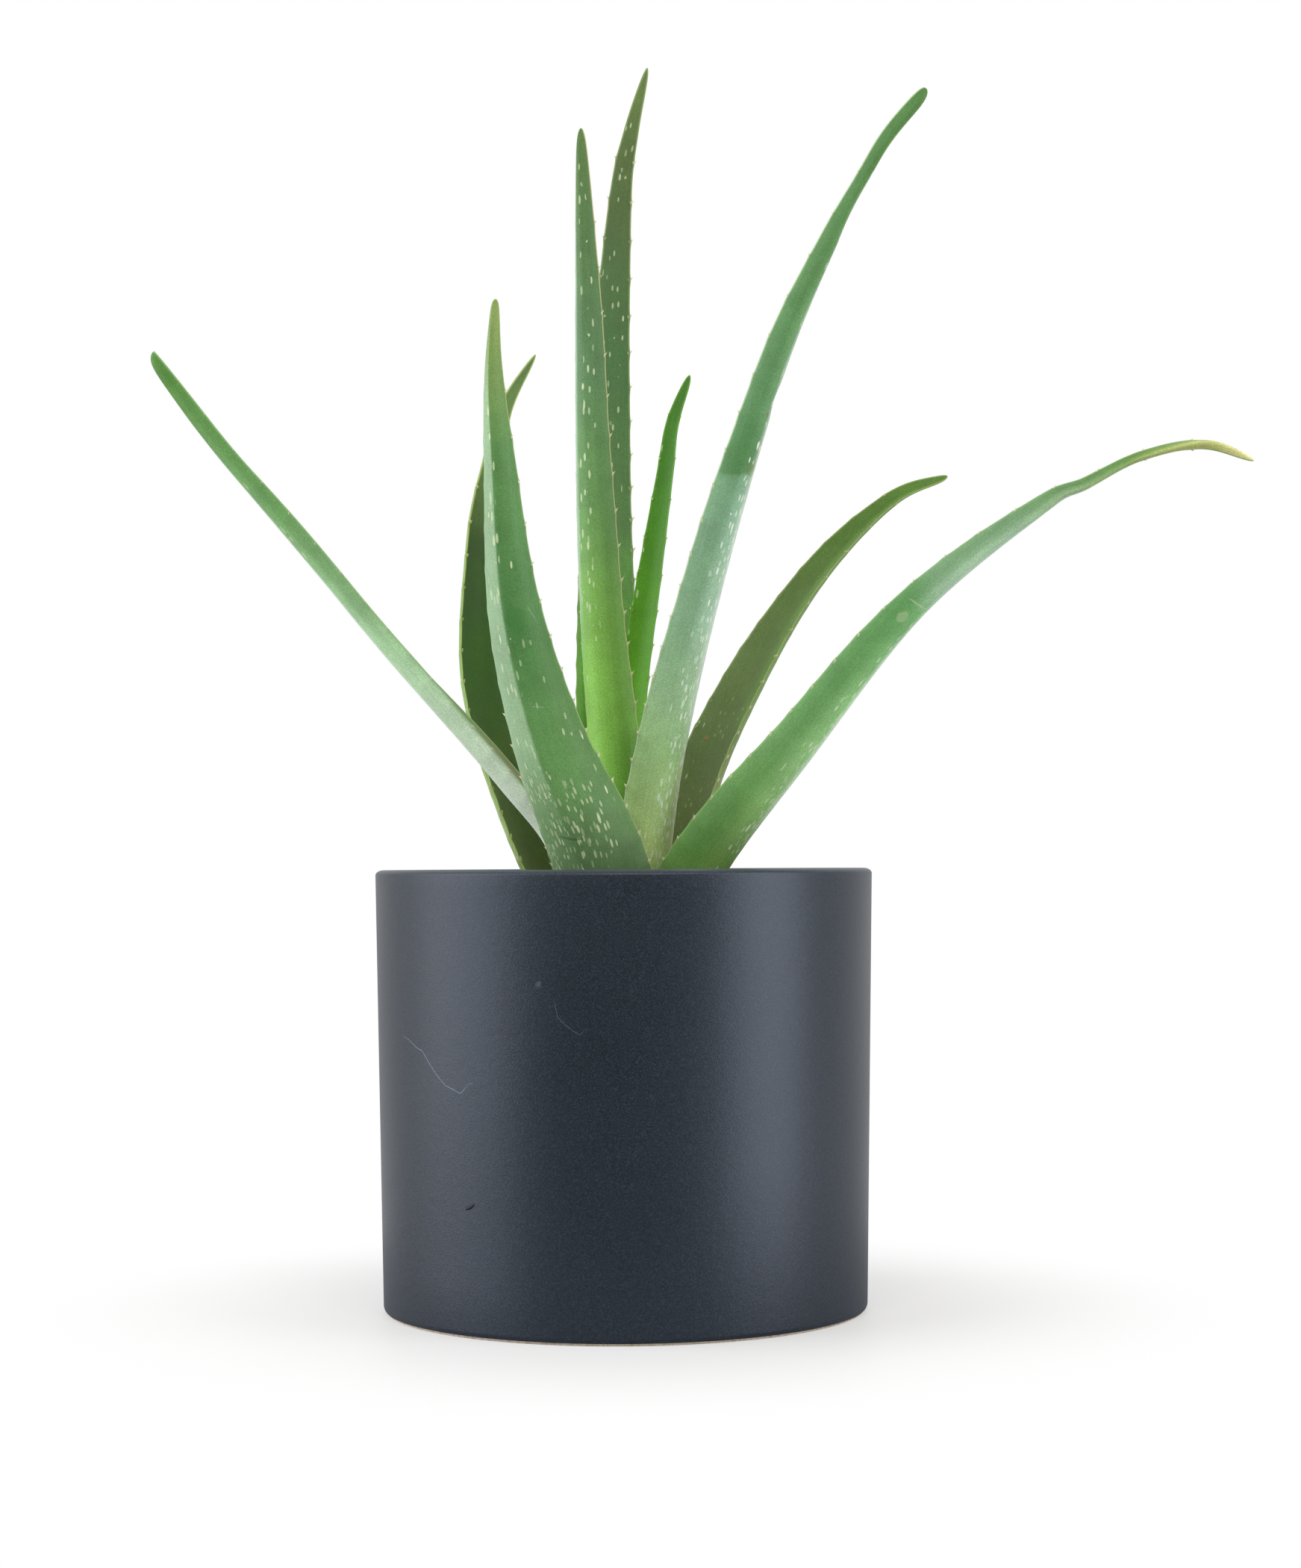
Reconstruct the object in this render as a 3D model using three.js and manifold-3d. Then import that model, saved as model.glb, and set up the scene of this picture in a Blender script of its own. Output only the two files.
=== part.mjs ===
// Potted aloe vera: a young plant of nine toothed leaves in a straight-sided ceramic pot.
// Millimetres, +Z up. The origin is the centre of the pot's underside. +X is to the right
// and +Y away from the viewer of the plant's front. Angles are degrees, anticlockwise from +X.
import * as THREE from "three";
import { mergeVertices } from "three/addons/utils/BufferGeometryUtils.js";
import Module from "manifold-3d";

const wasm = await Module();
wasm.setup();

// The pot, a slip-cast stoneware cylinder that narrows a little downwards
const POT_HEIGHT = 134;
const POT_RIM_RADIUS = 76;
const POT_LOW_RADIUS = 73.8;
const POT_WALL = 5;
const POT_FLOOR = 8;
const POT_RIM_ROUND = 1.6;
const POT_FOOT_ROUND = 2.2;
const POT_INNER_ROUND = 9;
const POT_SIDES = 48;
const RIM_STEPS = 6;
const FOOT_STEPS = 3;
const INNER_STEPS = 4;

// The soil, and the crown of the plant that stands in it
const SOIL_BELOW_RIM = 22;
const SOIL_EDGE_DIP = 2;
const SOIL_EDGE_WIDTH = 8;
const SOIL_TOP = POT_HEIGHT - SOIL_BELOW_RIM;
const STEM_RADIUS = 14;
const STEM_SIDES = 28;
const STEM_FOOT_SHARE = 0.6;
const STEM_FOOT_RISE = 12;
const STEM_DOME_STEPS = 5;
const STEM_BOTTOM = SOIL_TOP - 42;
const STEM_SHOULDER = SOIL_TOP - 6;
const STEM_TOP = SOIL_TOP + 1;
const POCKET_RADIUS = 32;
const POCKET_DEPTH = 5;

// The clearance between two pieces that meet, and how close corners are made one
const FIT_GAP = 0.3;
const CORNER_WELD = 1e-4;
const SLIVER_WELD = 0.01;

// The marginal teeth: flattened cones, close together at a leaf's base and further apart upwards.
// ROOT is how far inside the margin they start, LEVEL how deep in the blade's thickness.
const TOOTH_PITCH_BASE = 6;
const TOOTH_PITCH_GAIN = 9;
const TOOTH_RADIUS = 1.25;
const TOOTH_FLATNESS = 0.65;
const TOOTH_SHRINK = 0.45;
const TOOTH_LEAN = 0.45;
const TOOTH_TURN = 0.3;
const TOOTH_ROOT = 0.6;
const TOOTH_ROOT_LIMIT = 0.6;
const TOOTH_LEVEL = 0.2;
const TOOTH_SIDES = 4;
const TOOTH_FIRST = 0.16;
const TOOTH_LAST = 0.93;

// How finely a leaf is divided along and across, the fullness of its belly, how much of its end
// is rounded off, the tip's thickness as a share of its width, and the most thickness for a half
// width. A blade without a waist has one of no depth, and most blades have no smooth margin.
const LEAF_RINGS = 18;
const LEAF_TIP_STATIONS = [0.96, 0.978, 0.99, 0.997];
const LEAF_STEPS_ACROSS = 6;
const CURVE_DIVISIONS = 400;
const BELLY_POWER = 0.6;
const TIP_ROUND = 2.2;
const TIP_LEAST = 1e-6;
const TIP_THICK_SHARE = 0.8;
const THICK_LIMIT = 1.9;
const NO_WAIST = [1, 0, 1];
const NO_SMOOTH = [0, 0, 0];

// Surface finish of each kind of piece
const CERAMIC_ROUGHNESS = 0.5;
const SOIL_ROUGHNESS = 0.95;
const STEM_ROUGHNESS = 0.7;
const LEAF_ROUGHNESS = 0.5;

// Each leaf: the line midway between its two margins from base to tip, its width and thickness
// at the base and how fast both fall away, the width of its blunt tip, the depth of its channel
// as a share of its width, the length of its teeth from root to point, and the direction that its
// convex underside faces at base and tip. Some also have their own rounding at the tip, or a waist:
// the share of the length where it is narrowest, how much narrower it is there, and its reach,
// or a margin without teeth from one share to another, -1 for the left one and 1 for the right.
const LEAVES = {
  leaf_far_left: {
    spine: [
      [-9, -2, 102], [-15, -4, 139], [-33, -7, 164], [-67.5, -9, 203],
      [-86.5, -10, 225.5], [-105.5, -12, 247.5], [-121, -14, 265.5], [-141.5, -16, 291.5],
    ],
    width: 17, taper: 0.8, tip: 4, thick: 6, thin: 0.3,
    dish: 0.1, tooth: 2, facing: [174, 190], colour: "#7db08a",
  },
  leaf_back_left: {
    spine: [
      [-3, 6, 103], [-28.5, 21, 151], [-44, 37, 194],
      [-45.5, 52, 240], [-42.5, 60, 266], [-38, 66, 287], [-28.5, 72, 305.5],
    ],
    width: 28, taper: 0.85, tip: 1.6, thick: 6, thin: 0.6,
    dish: 0.2, tooth: 2, facing: [128, 128], colour: "#4d6b35",
  },
  leaf_front_left: {
    spine: [
      [0, -6, 102], [-7, -30, 137], [-21, -44, 171], [-31, -54, 209],
      [-35, -60, 252], [-36.5, -61, 277], [-36, -62, 298],
    ],
    width: 38.5, taper: 1.1, tip: 2.6, thick: 9, thin: 0.6,
    dish: 0.15, tooth: 2.2, facing: [246, 250], round: 1.5, smooth: [-1, 0.45, 1], colour: "#5d9462",
  },
  leaf_centre_front: {
    spine: [
      [-0.5, -4, 104], [-1.5, -12, 160], [-5.5, -20, 208],
      [-8, -27, 256], [-9.5, -32, 305], [-11.5, -36, 354],
    ],
    width: 20, taper: 0.7, tip: 2.4, thick: 8, thin: 0.6,
    dish: 0.15, tooth: 2.6, facing: [242, 238], colour: "#6fa356",
  },
  leaf_centre_back: {
    spine: [
      [1, 5, 104], [-4, 15, 173], [-5, 24, 234], [-3.5, 32, 293],
      [0, 40, 350], [3.5, 42, 372], [9, 44, 394],
    ],
    width: 26, taper: 0.75, tip: 1.6, thick: 7, thin: 0.6,
    dish: 0.2, tooth: 2.4, facing: [103, 103], smooth: [1, 0, 0.55], colour: "#5c7f57",
  },
  leaf_young: {
    spine: [
      [2.5, 1, 104], [-0.5, 6, 150], [2.5, 10, 187], [8, 13, 223],
      [13.5, 15, 258], [16, 15.5, 274], [21.5, 16, 289],
    ],
    width: 14, taper: 0.7, tip: 2.2, thick: 5, thin: 0.6,
    dish: 0.2, tooth: 2, facing: [70, 70], colour: "#4f9320",
  },
  leaf_right_tall: {
    spine: [
      [-0.5, -8, 102], [9.5, -28, 166], [24.5, -44, 224], [42.5, -58, 279],
      [57.5, -68, 312], [68.5, -73, 331], [75.5, -75.5, 342], [86.5, -78, 354.5],
    ],
    width: 23, taper: 1.2, tip: 4.4, thick: 7, thin: 0.6,
    dish: 0.13, tooth: 2.2, facing: [304, 318], waist: [0.88, 0.4, 0.09], colour: "#85b394",
  },
  leaf_right_back: {
    spine: [
      [7.5, 4, 102], [18.5, 20, 153], [38.5, 34, 195],
      [62.5, 48, 230.5], [88, 60, 255], [108, 66, 263.5],
    ],
    width: 26, taper: 0.85, tip: 2.4, thick: 6, thin: 0.6,
    dish: 0.2, tooth: 1.9, facing: [46, 50], round: 1.5, colour: "#566f42",
  },
  leaf_right_low: {
    spine: [
      [4, -5, 102], [20, -23, 136], [48.5, -40, 171], [82, -55, 210],
      [117, -67, 236.5], [131, -71, 243], [146, -74, 250], [163, -77, 253], [178, -80, 248],
    ],
    width: 28.5, taper: 1.5, tip: 3.2, thick: 10, thin: 1,
    dish: 0.12, tooth: 2.1, facing: [312, 320], round: 6, waist: [0.84, 0.4, 0.12], colour: "#5f9a5c",
  },
};

// Where leaves crowd at the crown, each one gives way to those named before it
const CUTTING_ORDER = [
  "leaf_young", "leaf_centre_back", "leaf_centre_front", "leaf_right_tall", "leaf_front_left",
  "leaf_right_low", "leaf_right_back", "leaf_far_left", "leaf_back_left",
];

// Solids: a closed geometry becomes a solid for cutting and joining, and comes back
function toSolid(geometry) {
  const bare = geometry.clone();
  bare.deleteAttribute("normal");
  bare.deleteAttribute("uv");
  const welded = mergeVertices(bare, CORNER_WELD);
  const mesh = new wasm.Mesh({
    numProp: 3,
    vertProperties: new Float32Array(welded.getAttribute("position").array),
    triVerts: new Uint32Array(welded.getIndex().array),
  });
  return new wasm.Manifold(mesh);
}

// Slivers that a cut leaves are closed up on the way back
function toGeometry(solid) {
  const mesh = solid.getMesh();
  const raw = new THREE.BufferGeometry();
  raw.setAttribute("position", new THREE.BufferAttribute(new Float32Array(mesh.vertProperties), 3));
  raw.setIndex(new THREE.BufferAttribute(new Uint32Array(mesh.triVerts), 1));
  const geometry = mergeVertices(raw, SLIVER_WELD);
  const corners = geometry.getIndex().array;
  const kept = [];
  for (let i = 0; i < corners.length; i += 3) {
    const [a, b, c] = corners.slice(i, i + 3);
    if (a !== b && b !== c && c !== a) kept.push(a, b, c);
  }
  geometry.setIndex(kept);
  geometry.computeVertexNormals();
  return geometry;
}

function largestPiece(solid) {
  const pieces = solid.decompose();
  return pieces.reduce((best, piece) => (piece.volume() > best.volume() ? piece : best));
}

// A turned shape from [radius, height] points that run from the axis round the outside and back
function turned(outline, sides) {
  const points = outline.map(([radius, height]) => new THREE.Vector2(radius, height));
  const geometry = new THREE.LatheGeometry(points, sides);
  geometry.rotateX(Math.PI / 2);
  return geometry;
}

function arcPoints(centreRadius, centreHeight, radius, fromDegrees, toDegrees, steps) {
  return Array.from({ length: steps + 1 }, (_, i) => {
    const angle = THREE.MathUtils.degToRad(fromDegrees + (i / steps) * (toDegrees - fromDegrees));
    return [centreRadius + radius * Math.cos(angle), centreHeight + radius * Math.sin(angle)];
  });
}

// The pot: wall, floor and rounded rim in one piece, open at the top
function potGeometry() {
  const halfWall = POT_WALL / 2;
  const shoulder = POT_HEIGHT - POT_RIM_ROUND;
  const rimArch = arcPoints(POT_RIM_RADIUS - halfWall, 0, halfWall, 0, 180, RIM_STEPS);
  const rim = rimArch.map(([r, h]) => [r, shoulder + (h * POT_RIM_ROUND) / halfWall]);
  const footCentre = POT_LOW_RADIUS - POT_FOOT_ROUND;
  const innerCentre = POT_LOW_RADIUS - POT_WALL - POT_INNER_ROUND;
  const innerLevel = POT_FLOOR + POT_INNER_ROUND;
  return turned(
    [
      [0, 0],
      ...arcPoints(footCentre, POT_FOOT_ROUND, POT_FOOT_ROUND, -90, 0, FOOT_STEPS),
      ...rim,
      ...arcPoints(innerCentre, innerLevel, POT_INNER_ROUND, 0, -90, INNER_STEPS),
      [0, POT_FLOOR],
    ],
    POT_SIDES,
  );
}

// The soil: fills the pot to below the rim, with a pocket for the leaf bases and a hole for the stem
function soilGeometry() {
  const slope = (POT_RIM_RADIUS - POT_LOW_RADIUS) / POT_HEIGHT;
  const low = POT_LOW_RADIUS - POT_WALL - FIT_GAP;
  const edge = low + slope * SOIL_TOP - FIT_GAP;
  const floor = POT_FLOOR + FIT_GAP;
  const cornerCentre = low - POT_INNER_ROUND;
  const cornerLevel = floor + POT_INNER_ROUND;
  const hole = STEM_RADIUS + FIT_GAP;
  return turned(
    [
      [0, floor],
      ...arcPoints(cornerCentre, cornerLevel, POT_INNER_ROUND, -90, 0, INNER_STEPS),
      [edge, SOIL_TOP - SOIL_EDGE_DIP],
      [edge - SOIL_EDGE_WIDTH, SOIL_TOP],
      [POCKET_RADIUS, SOIL_TOP],
      [POCKET_RADIUS, SOIL_TOP - POCKET_DEPTH],
      [hole, SOIL_TOP - POCKET_DEPTH],
      [hole, STEM_BOTTOM - FIT_GAP],
      [0, STEM_BOTTOM - FIT_GAP],
    ],
    POT_SIDES,
  );
}

// What the leaf bases can't reach into: the soil below the pocket
function groundGeometry() {
  const top = SOIL_TOP - POCKET_DEPTH + FIT_GAP;
  return turned([[0, 0], [POT_LOW_RADIUS, 0], [POT_LOW_RADIUS, top], [0, top]], POT_SIDES);
}

// The stem: the short crown that carries every leaf, blunt below and domed above
function stemGeometry(grow) {
  const domeHeight = STEM_TOP - STEM_SHOULDER;
  const dome = arcPoints(0, 0, 1, 0, 90, STEM_DOME_STEPS).map(([across, up]) => [
    (STEM_RADIUS + grow) * across,
    STEM_SHOULDER + (domeHeight + grow) * up,
  ]);
  dome[dome.length - 1][0] = 0;
  return turned(
    [
      [0, STEM_BOTTOM - grow],
      [STEM_RADIUS * STEM_FOOT_SHARE + grow, STEM_BOTTOM - grow],
      [STEM_RADIUS + grow, STEM_BOTTOM + STEM_FOOT_RISE],
      ...dome,
    ],
    STEM_SIDES,
  );
}

// A leaf's own frame at a share s of its length: along it, across it and out of its underside
function leafFrame(leaf, curve, s) {
  const along = curve.getTangentAt(s);
  const [baseFacing, tipFacing] = leaf.facing;
  const facing = THREE.MathUtils.degToRad(baseFacing + (tipFacing - baseFacing) * s);
  const out = new THREE.Vector3(Math.cos(facing), Math.sin(facing), 0);
  out.addScaledVector(along, -out.dot(along)).normalize();
  const across = new THREE.Vector3().crossVectors(along, out);
  return { centre: curve.getPointAt(s), along, out, across };
}

// Half width, thickness and channel depth at s, all ending in a small blunt tip
function leafSize(leaf, curve, s) {
  const left = Math.max(1 - s, 0);
  const round = leaf.round ?? TIP_ROUND;
  const blunt = Math.sqrt(Math.max(1 - s ** (curve.getLength() / round), TIP_LEAST));
  const [waistAt, waistDepth, waistReach] = leaf.waist ?? NO_WAIST;
  const narrow = 1 - waistDepth * Math.exp(-(((s - waistAt) / waistReach) ** 2));
  const taper = leaf.tip + (leaf.width - leaf.tip) * left ** leaf.taper;
  const half = 0.5 * taper * narrow * blunt;
  const tipThick = TIP_THICK_SHARE * leaf.tip;
  const full = (tipThick + (leaf.thick - tipThick) * left ** leaf.thin) * blunt;
  const thick = Math.min(full, THICK_LIMIT * half);
  const dish = leaf.dish * 2 * half * (1 - s * s);
  return { half, thick, dish };
}

// Heights of the two faces above the line between the margins, at x from -1 to 1 across
function upperHeight(dish, x) {
  return dish * (1 - x * x);
}

function underHeight(dish, thick, x) {
  return (dish + thick) * (1 - x * x) ** BELLY_POWER;
}

// One crescent section: the channelled upper face, then the full belly of the underside
function leafRing(leaf, curve, s, grow) {
  const { centre, out, across } = leafFrame(leaf, curve, s);
  const { half, thick, dish } = leafSize(leaf, curve, s);
  const place = (x, height) =>
    centre.clone().addScaledVector(across, x * (half + grow)).addScaledVector(out, height);
  const shares = Array.from({ length: LEAF_STEPS_ACROSS + 1 }, (_, i) =>
    Math.sin((i / LEAF_STEPS_ACROSS - 0.5) * Math.PI),
  );
  const upper = shares.map((x) => place(x, upperHeight(dish, x) - grow));
  const under = shares.slice(1, -1).map((x) => place(x, underHeight(dish, thick, x) + grow));
  return [...upper, ...under.reverse()];
}

function bladeGeometry(leaf, curve, grow) {
  const even = Array.from({ length: LEAF_RINGS }, (_, i) => (i / (LEAF_RINGS - 1)) * TOOTH_LAST);
  const stations = [...even, ...LEAF_TIP_STATIONS];
  const rings = stations.map((s) => leafRing(leaf, curve, s, grow));
  const points = rings.flat();
  const count = rings[0].length;
  const start = points.length;
  points.push(rings[0].reduce((sum, p) => sum.add(p), new THREE.Vector3()).divideScalar(count));
  const end = points.length;
  points.push(curve.getPointAt(1).addScaledVector(curve.getTangentAt(1), grow));
  const index = [];
  for (let r = 0; r < rings.length - 1; r += 1) {
    for (let i = 0; i < count; i += 1) {
      const a = r * count + i;
      const b = r * count + ((i + 1) % count);
      index.push(a, b + count, b, a, a + count, b + count);
    }
  }
  const last = (rings.length - 1) * count;
  for (let i = 0; i < count; i += 1) {
    const next = (i + 1) % count;
    index.push(start, i, next);
    index.push(end, last + next, last + i);
  }
  const geometry = new THREE.BufferGeometry().setFromPoints(points);
  geometry.setIndex(index);
  return geometry;
}

// Teeth stand along both margins, rooted inside the blade, leaning towards the tip and turned
// a little to the upper face
function toothStations(length) {
  const stations = [];
  let s = TOOTH_FIRST;
  while (s < TOOTH_LAST) {
    stations.push(s);
    s += (TOOTH_PITCH_BASE + TOOTH_PITCH_GAIN * s) / length;
  }
  return stations;
}

function toothSolid(leaf, curve, s, side, grow) {
  const { centre, along, out, across } = leafFrame(leaf, curve, s);
  const { half, thick, dish } = leafSize(leaf, curve, s);
  const x = 1 - Math.min(TOOTH_ROOT / half, TOOTH_ROOT_LIMIT);
  const upper = upperHeight(dish, x);
  const level = upper + TOOTH_LEVEL * (underHeight(dish, thick, x) - upper);
  const outward = across.clone().multiplyScalar(side);
  const axis = outward.clone().addScaledVector(along, TOOTH_LEAN);
  axis.addScaledVector(out, -TOOTH_TURN).normalize();
  const wide = new THREE.Vector3().crossVectors(axis, out).normalize();
  const thin = new THREE.Vector3().crossVectors(wide, axis);
  const shrink = 1 - TOOTH_SHRINK * s;
  const length = leaf.tooth * shrink + 2 * grow;
  const radius = TOOTH_RADIUS * shrink + grow;
  const cone = new THREE.ConeGeometry(radius, length, TOOTH_SIDES);
  cone.scale(1, 1, TOOTH_FLATNESS);
  cone.translate(0, length / 2, 0);
  const seat = centre.clone().addScaledVector(outward, x * half - grow).addScaledVector(out, level);
  cone.applyMatrix4(new THREE.Matrix4().makeBasis(wide, axis, thin).setPosition(seat));
  return toSolid(cone);
}

function leafSolid(leaf, grow) {
  const points = leaf.spine.map(([x, y, z]) => new THREE.Vector3(x, y, z));
  const curve = new THREE.CatmullRomCurve3(points, false, "catmullrom", 0.5);
  curve.arcLengthDivisions = CURVE_DIVISIONS;
  const [smoothSide, smoothFrom, smoothTo] = leaf.smooth ?? NO_SMOOTH;
  let solid = toSolid(bladeGeometry(leaf, curve, grow));
  toothStations(curve.getLength()).forEach((s) => {
    [-1, 1].forEach((side) => {
      const smooth = side === smoothSide && s > smoothFrom && s < smoothTo;
      solid = smooth ? solid : solid.add(toothSolid(leaf, curve, s, side, grow));
    });
  });
  return solid;
}

// Assembly
const plant = new THREE.Group();

function addPiece(name, geometry, colour, roughness) {
  const material = new THREE.MeshStandardMaterial({ color: colour, roughness, metalness: 0 });
  const mesh = new THREE.Mesh(geometry, material);
  mesh.name = name;
  plant.add(mesh);
}

addPiece("pot", potGeometry(), "#363b42", CERAMIC_ROUGHNESS);
addPiece("potting_soil", soilGeometry(), "#2c211a", SOIL_ROUGHNESS);
addPiece("stem", stemGeometry(0), "#b9a878", STEM_ROUGHNESS);

let taken = toSolid(stemGeometry(FIT_GAP)).add(toSolid(groundGeometry()));
CUTTING_ORDER.forEach((name) => {
  const leaf = LEAVES[name];
  const clear = largestPiece(leafSolid(leaf, 0).subtract(taken));
  taken = taken.add(leafSolid(leaf, FIT_GAP));
  addPiece(name, toGeometry(clear), leaf.colour, LEAF_ROUGHNESS);
});

export default plant;
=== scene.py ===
# Potted aloe vera: a young aloe of nine toothed leaves in a straight-sided satin glazed pot.
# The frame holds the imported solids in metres, +Z up, with the pot's underside centred on the
# origin. Sizes here are written in millimetres and become metres where a mesh is made.
import math
from functools import partial

import bpy
import numpy as np
from mathutils import Matrix, Vector


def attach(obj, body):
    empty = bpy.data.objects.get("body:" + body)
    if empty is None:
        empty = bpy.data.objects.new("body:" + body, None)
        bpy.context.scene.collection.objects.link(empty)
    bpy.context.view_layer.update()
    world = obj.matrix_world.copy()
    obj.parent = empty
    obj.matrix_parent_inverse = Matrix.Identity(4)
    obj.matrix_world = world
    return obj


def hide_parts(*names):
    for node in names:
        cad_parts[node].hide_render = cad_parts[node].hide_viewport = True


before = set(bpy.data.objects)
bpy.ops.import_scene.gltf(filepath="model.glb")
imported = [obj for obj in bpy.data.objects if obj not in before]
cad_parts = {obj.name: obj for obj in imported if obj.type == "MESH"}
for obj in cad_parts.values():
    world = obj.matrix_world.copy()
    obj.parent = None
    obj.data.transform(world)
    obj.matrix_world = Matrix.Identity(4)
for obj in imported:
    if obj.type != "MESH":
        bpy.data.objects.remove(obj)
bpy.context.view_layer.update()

MM = 0.001
scene = bpy.context.scene


# Camera
# A short telephoto at the height of the pot's rim, nearly a metre in front of the plant and
# tipped up a little, so that the rim is seen edge-on and the foot from slightly above.
EYE_MM = (0.0, -895.0, 135.5)
LENS_MM = 66.86
SENSOR_MM = 36.0
NEAREST = 0.01
YAW = math.radians(0.535)
PITCH = math.radians(1.572)
ROLL = math.radians(0.3)

ahead = Vector((math.sin(YAW) * math.cos(PITCH), math.cos(YAW) * math.cos(PITCH), math.sin(PITCH)))
level = ahead.cross(Vector((0, 0, 1))).normalized()
upright = level.cross(ahead)
image_right = level * math.cos(ROLL) - upright * math.sin(ROLL)
image_up = level * math.sin(ROLL) + upright * math.cos(ROLL)
lens = bpy.data.cameras.new("studio_camera")
lens.sensor_width = SENSOR_MM
lens.lens = LENS_MM
lens.clip_start = NEAREST
camera = bpy.data.objects.new("studio_camera", lens)
camera.matrix_world = (
    Matrix.Translation(Vector(EYE_MM) * MM)
    @ Matrix((image_right, image_up, -ahead)).transposed().to_4x4()
)
scene.collection.objects.link(camera)
scene.camera = camera


# Studio
# A round white floor that melts into a white room. The room is brighter behind and above the
# plant than in front of it, with a tall soft light at each side and one high in front.
FLOOR_RADIUS = 0.20
FLOOR_FADE = (0.085, 0.19)
FLOOR_SIDES = 96
FLOOR_WHITE = "#efeeec"
FLOOR_SHADE = "#b4b4b8"
FLOOR_LIFT = 0.35
ROOM_WHITE = 1.0
ROOM_AROUND = [(0.02, "#6e6e6e"), (0.28, "#b2b3b5"), (0.5, "#bbbcbe"), (0.85, "#e8e9ea")]
ROOM_ABOVE = 0.32
ABOVE_FADE = (0.35, 0.9)
SOFT_LIGHTS = {
    "softbox_right": {"at": (1.13, -0.50, 0.30), "size": (0.80, 1.5), "watts": 13.0, "tint": "#f4f4fa"},
    "softbox_left": {"at": (-1.22, -0.28, 0.52), "size": (1.30, 1.4), "watts": 18.0, "tint": "#f4f4fa"},
    "fill_above": {"at": (0.10, -1.40, 1.12), "size": (1.7, 0.6), "watts": 14.0, "tint": "#fffdf6"},
}
LIGHT_AIM = Vector((0.0, 0.0, 0.16))
WHITE = (1, 1, 1, 1)
SMOOTH = {"interpolation_type": "SMOOTHSTEP"}


def linear(code):
    """The linear colour, with full alpha, of an sRGB hex code: each channel is c / 12.92 below
    0.04045 and ((c + 0.055) / 1.055) to the power 2.4 above it."""
    channels = [int(code[i:i + 2], 16) / 255 for i in (1, 3, 5)]
    return [c / 12.92 if c <= 0.04045 else ((c + 0.055) / 1.055) ** 2.4 for c in channels] + [1.0]


def add_node(tree, kind, inputs, stops=(), out=0, **settings):
    """Adds a shader node and returns one of its outputs. Its inputs, a dict or a list that begins
    at its first socket, are values or other nodes' outputs. Its stops are a ramp's places and
    colours, and its settings are properties. A map range's list is the value, the two ends that
    it runs between and the two that they turn into."""
    node = tree.nodes.new("ShaderNode" + kind)
    for name, value in settings.items():
        setattr(node, name, value)
    for name, value in inputs.items() if isinstance(inputs, dict) else enumerate(inputs):
        if isinstance(value, bpy.types.NodeSocket):
            tree.links.new(value, node.inputs[name])
        else:
            node.inputs[name].default_value = value
    if stops:
        ramp = node.color_ramp.elements
        while len(ramp) < len(stops):
            ramp.new(1.0)
        for element, (place, code) in zip(ramp, stops):
            element.position = place
            element.color = linear(code)
    return node.outputs[out] if node.outputs else None


def empty_nodes(finish):
    """Empties the node tree of a material or of the room and returns what adds nodes to it."""
    finish.use_nodes = True
    finish.node_tree.nodes.clear()
    return partial(add_node, finish.node_tree)


def new_finish(name):
    """A material without nodes yet, what adds nodes to it, and the place on the piece in metres."""
    finish = bpy.data.materials.new(name)
    add = empty_nodes(finish)
    return finish, add, add("TexCoord", [], out="Object")


scene.view_settings.view_transform = "Standard"
scene.view_settings.look = "None"

room = bpy.data.worlds.new("studio_room")
add = empty_nodes(room)
outlook = add("TexCoord", [], out="Generated")
direction = add("SeparateXYZ", [outlook], out="Y")
towards_back = add("MapRange", [direction, -1.0, 1.0])
depth = add("ValToRGB", [towards_back], stops=ROOM_AROUND)
overhead = add("MapRange", [direction.node.outputs["Z"], *ABOVE_FADE, 0.0, ROOM_ABOVE], **SMOOTH)
brighter = add("Math", [depth, overhead], operation="MAXIMUM")
seen = add("LightPath", [], out="Is Camera Ray")
strength = add("Mix", {0: seen, 2: brighter, 3: ROOM_WHITE})
add("OutputWorld", [add("Background", [WHITE, strength])])
scene.world = room

for name, light in SOFT_LIGHTS.items():
    lamp = bpy.data.lights.new(name, "AREA")
    lamp.shape = "RECTANGLE"
    lamp.size, lamp.size_y = light["size"]
    lamp.energy = light["watts"]
    lamp.color = linear(light["tint"])[:3]
    holder = bpy.data.objects.new(name, lamp)
    holder.location = light["at"]
    holder.rotation_euler = (LIGHT_AIM - Vector(light["at"])).to_track_quat("-Z", "Y").to_euler()
    scene.collection.objects.link(holder)

# Painted white floor: matt, lit like the plant near the pot and as white as the room farther out.
# The plant itself is lit by a plain grey of its own, so that the floor doesn't glare from below.
floor_finish, add, place = new_finish("painted_white_floor")
distance = add("VectorMath", [place], out="Value", operation="LENGTH")
melt = add("MapRange", [distance, *FLOOR_FADE, FLOOR_LIFT], **SMOOTH)
paint = add("BsdfPrincipled", {"Base Color": linear(FLOOR_WHITE), "Roughness": 0.5})
lit = add("MixShader", [melt, paint, add("Emission", [WHITE, ROOM_WHITE])])
seen = add("LightPath", [], out="Is Camera Ray")
shade = add("BsdfDiffuse", [linear(FLOOR_SHADE)])
add("OutputMaterial", [add("MixShader", [seen, shade, lit])])

angles = np.linspace(0, 2 * np.pi, FLOOR_SIDES, endpoint=False)
edge = np.stack([np.cos(angles), np.sin(angles), 0 * angles], -1) * FLOOR_RADIUS
floor_mesh = bpy.data.meshes.new("studio_floor")
floor_mesh.from_pydata(edge.tolist(), [], [list(range(FLOOR_SIDES))])
floor_mesh.materials.append(floor_finish)
studio_floor = bpy.data.objects.new("studio_floor", floor_mesh)
scene.collection.objects.link(studio_floor)


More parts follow.
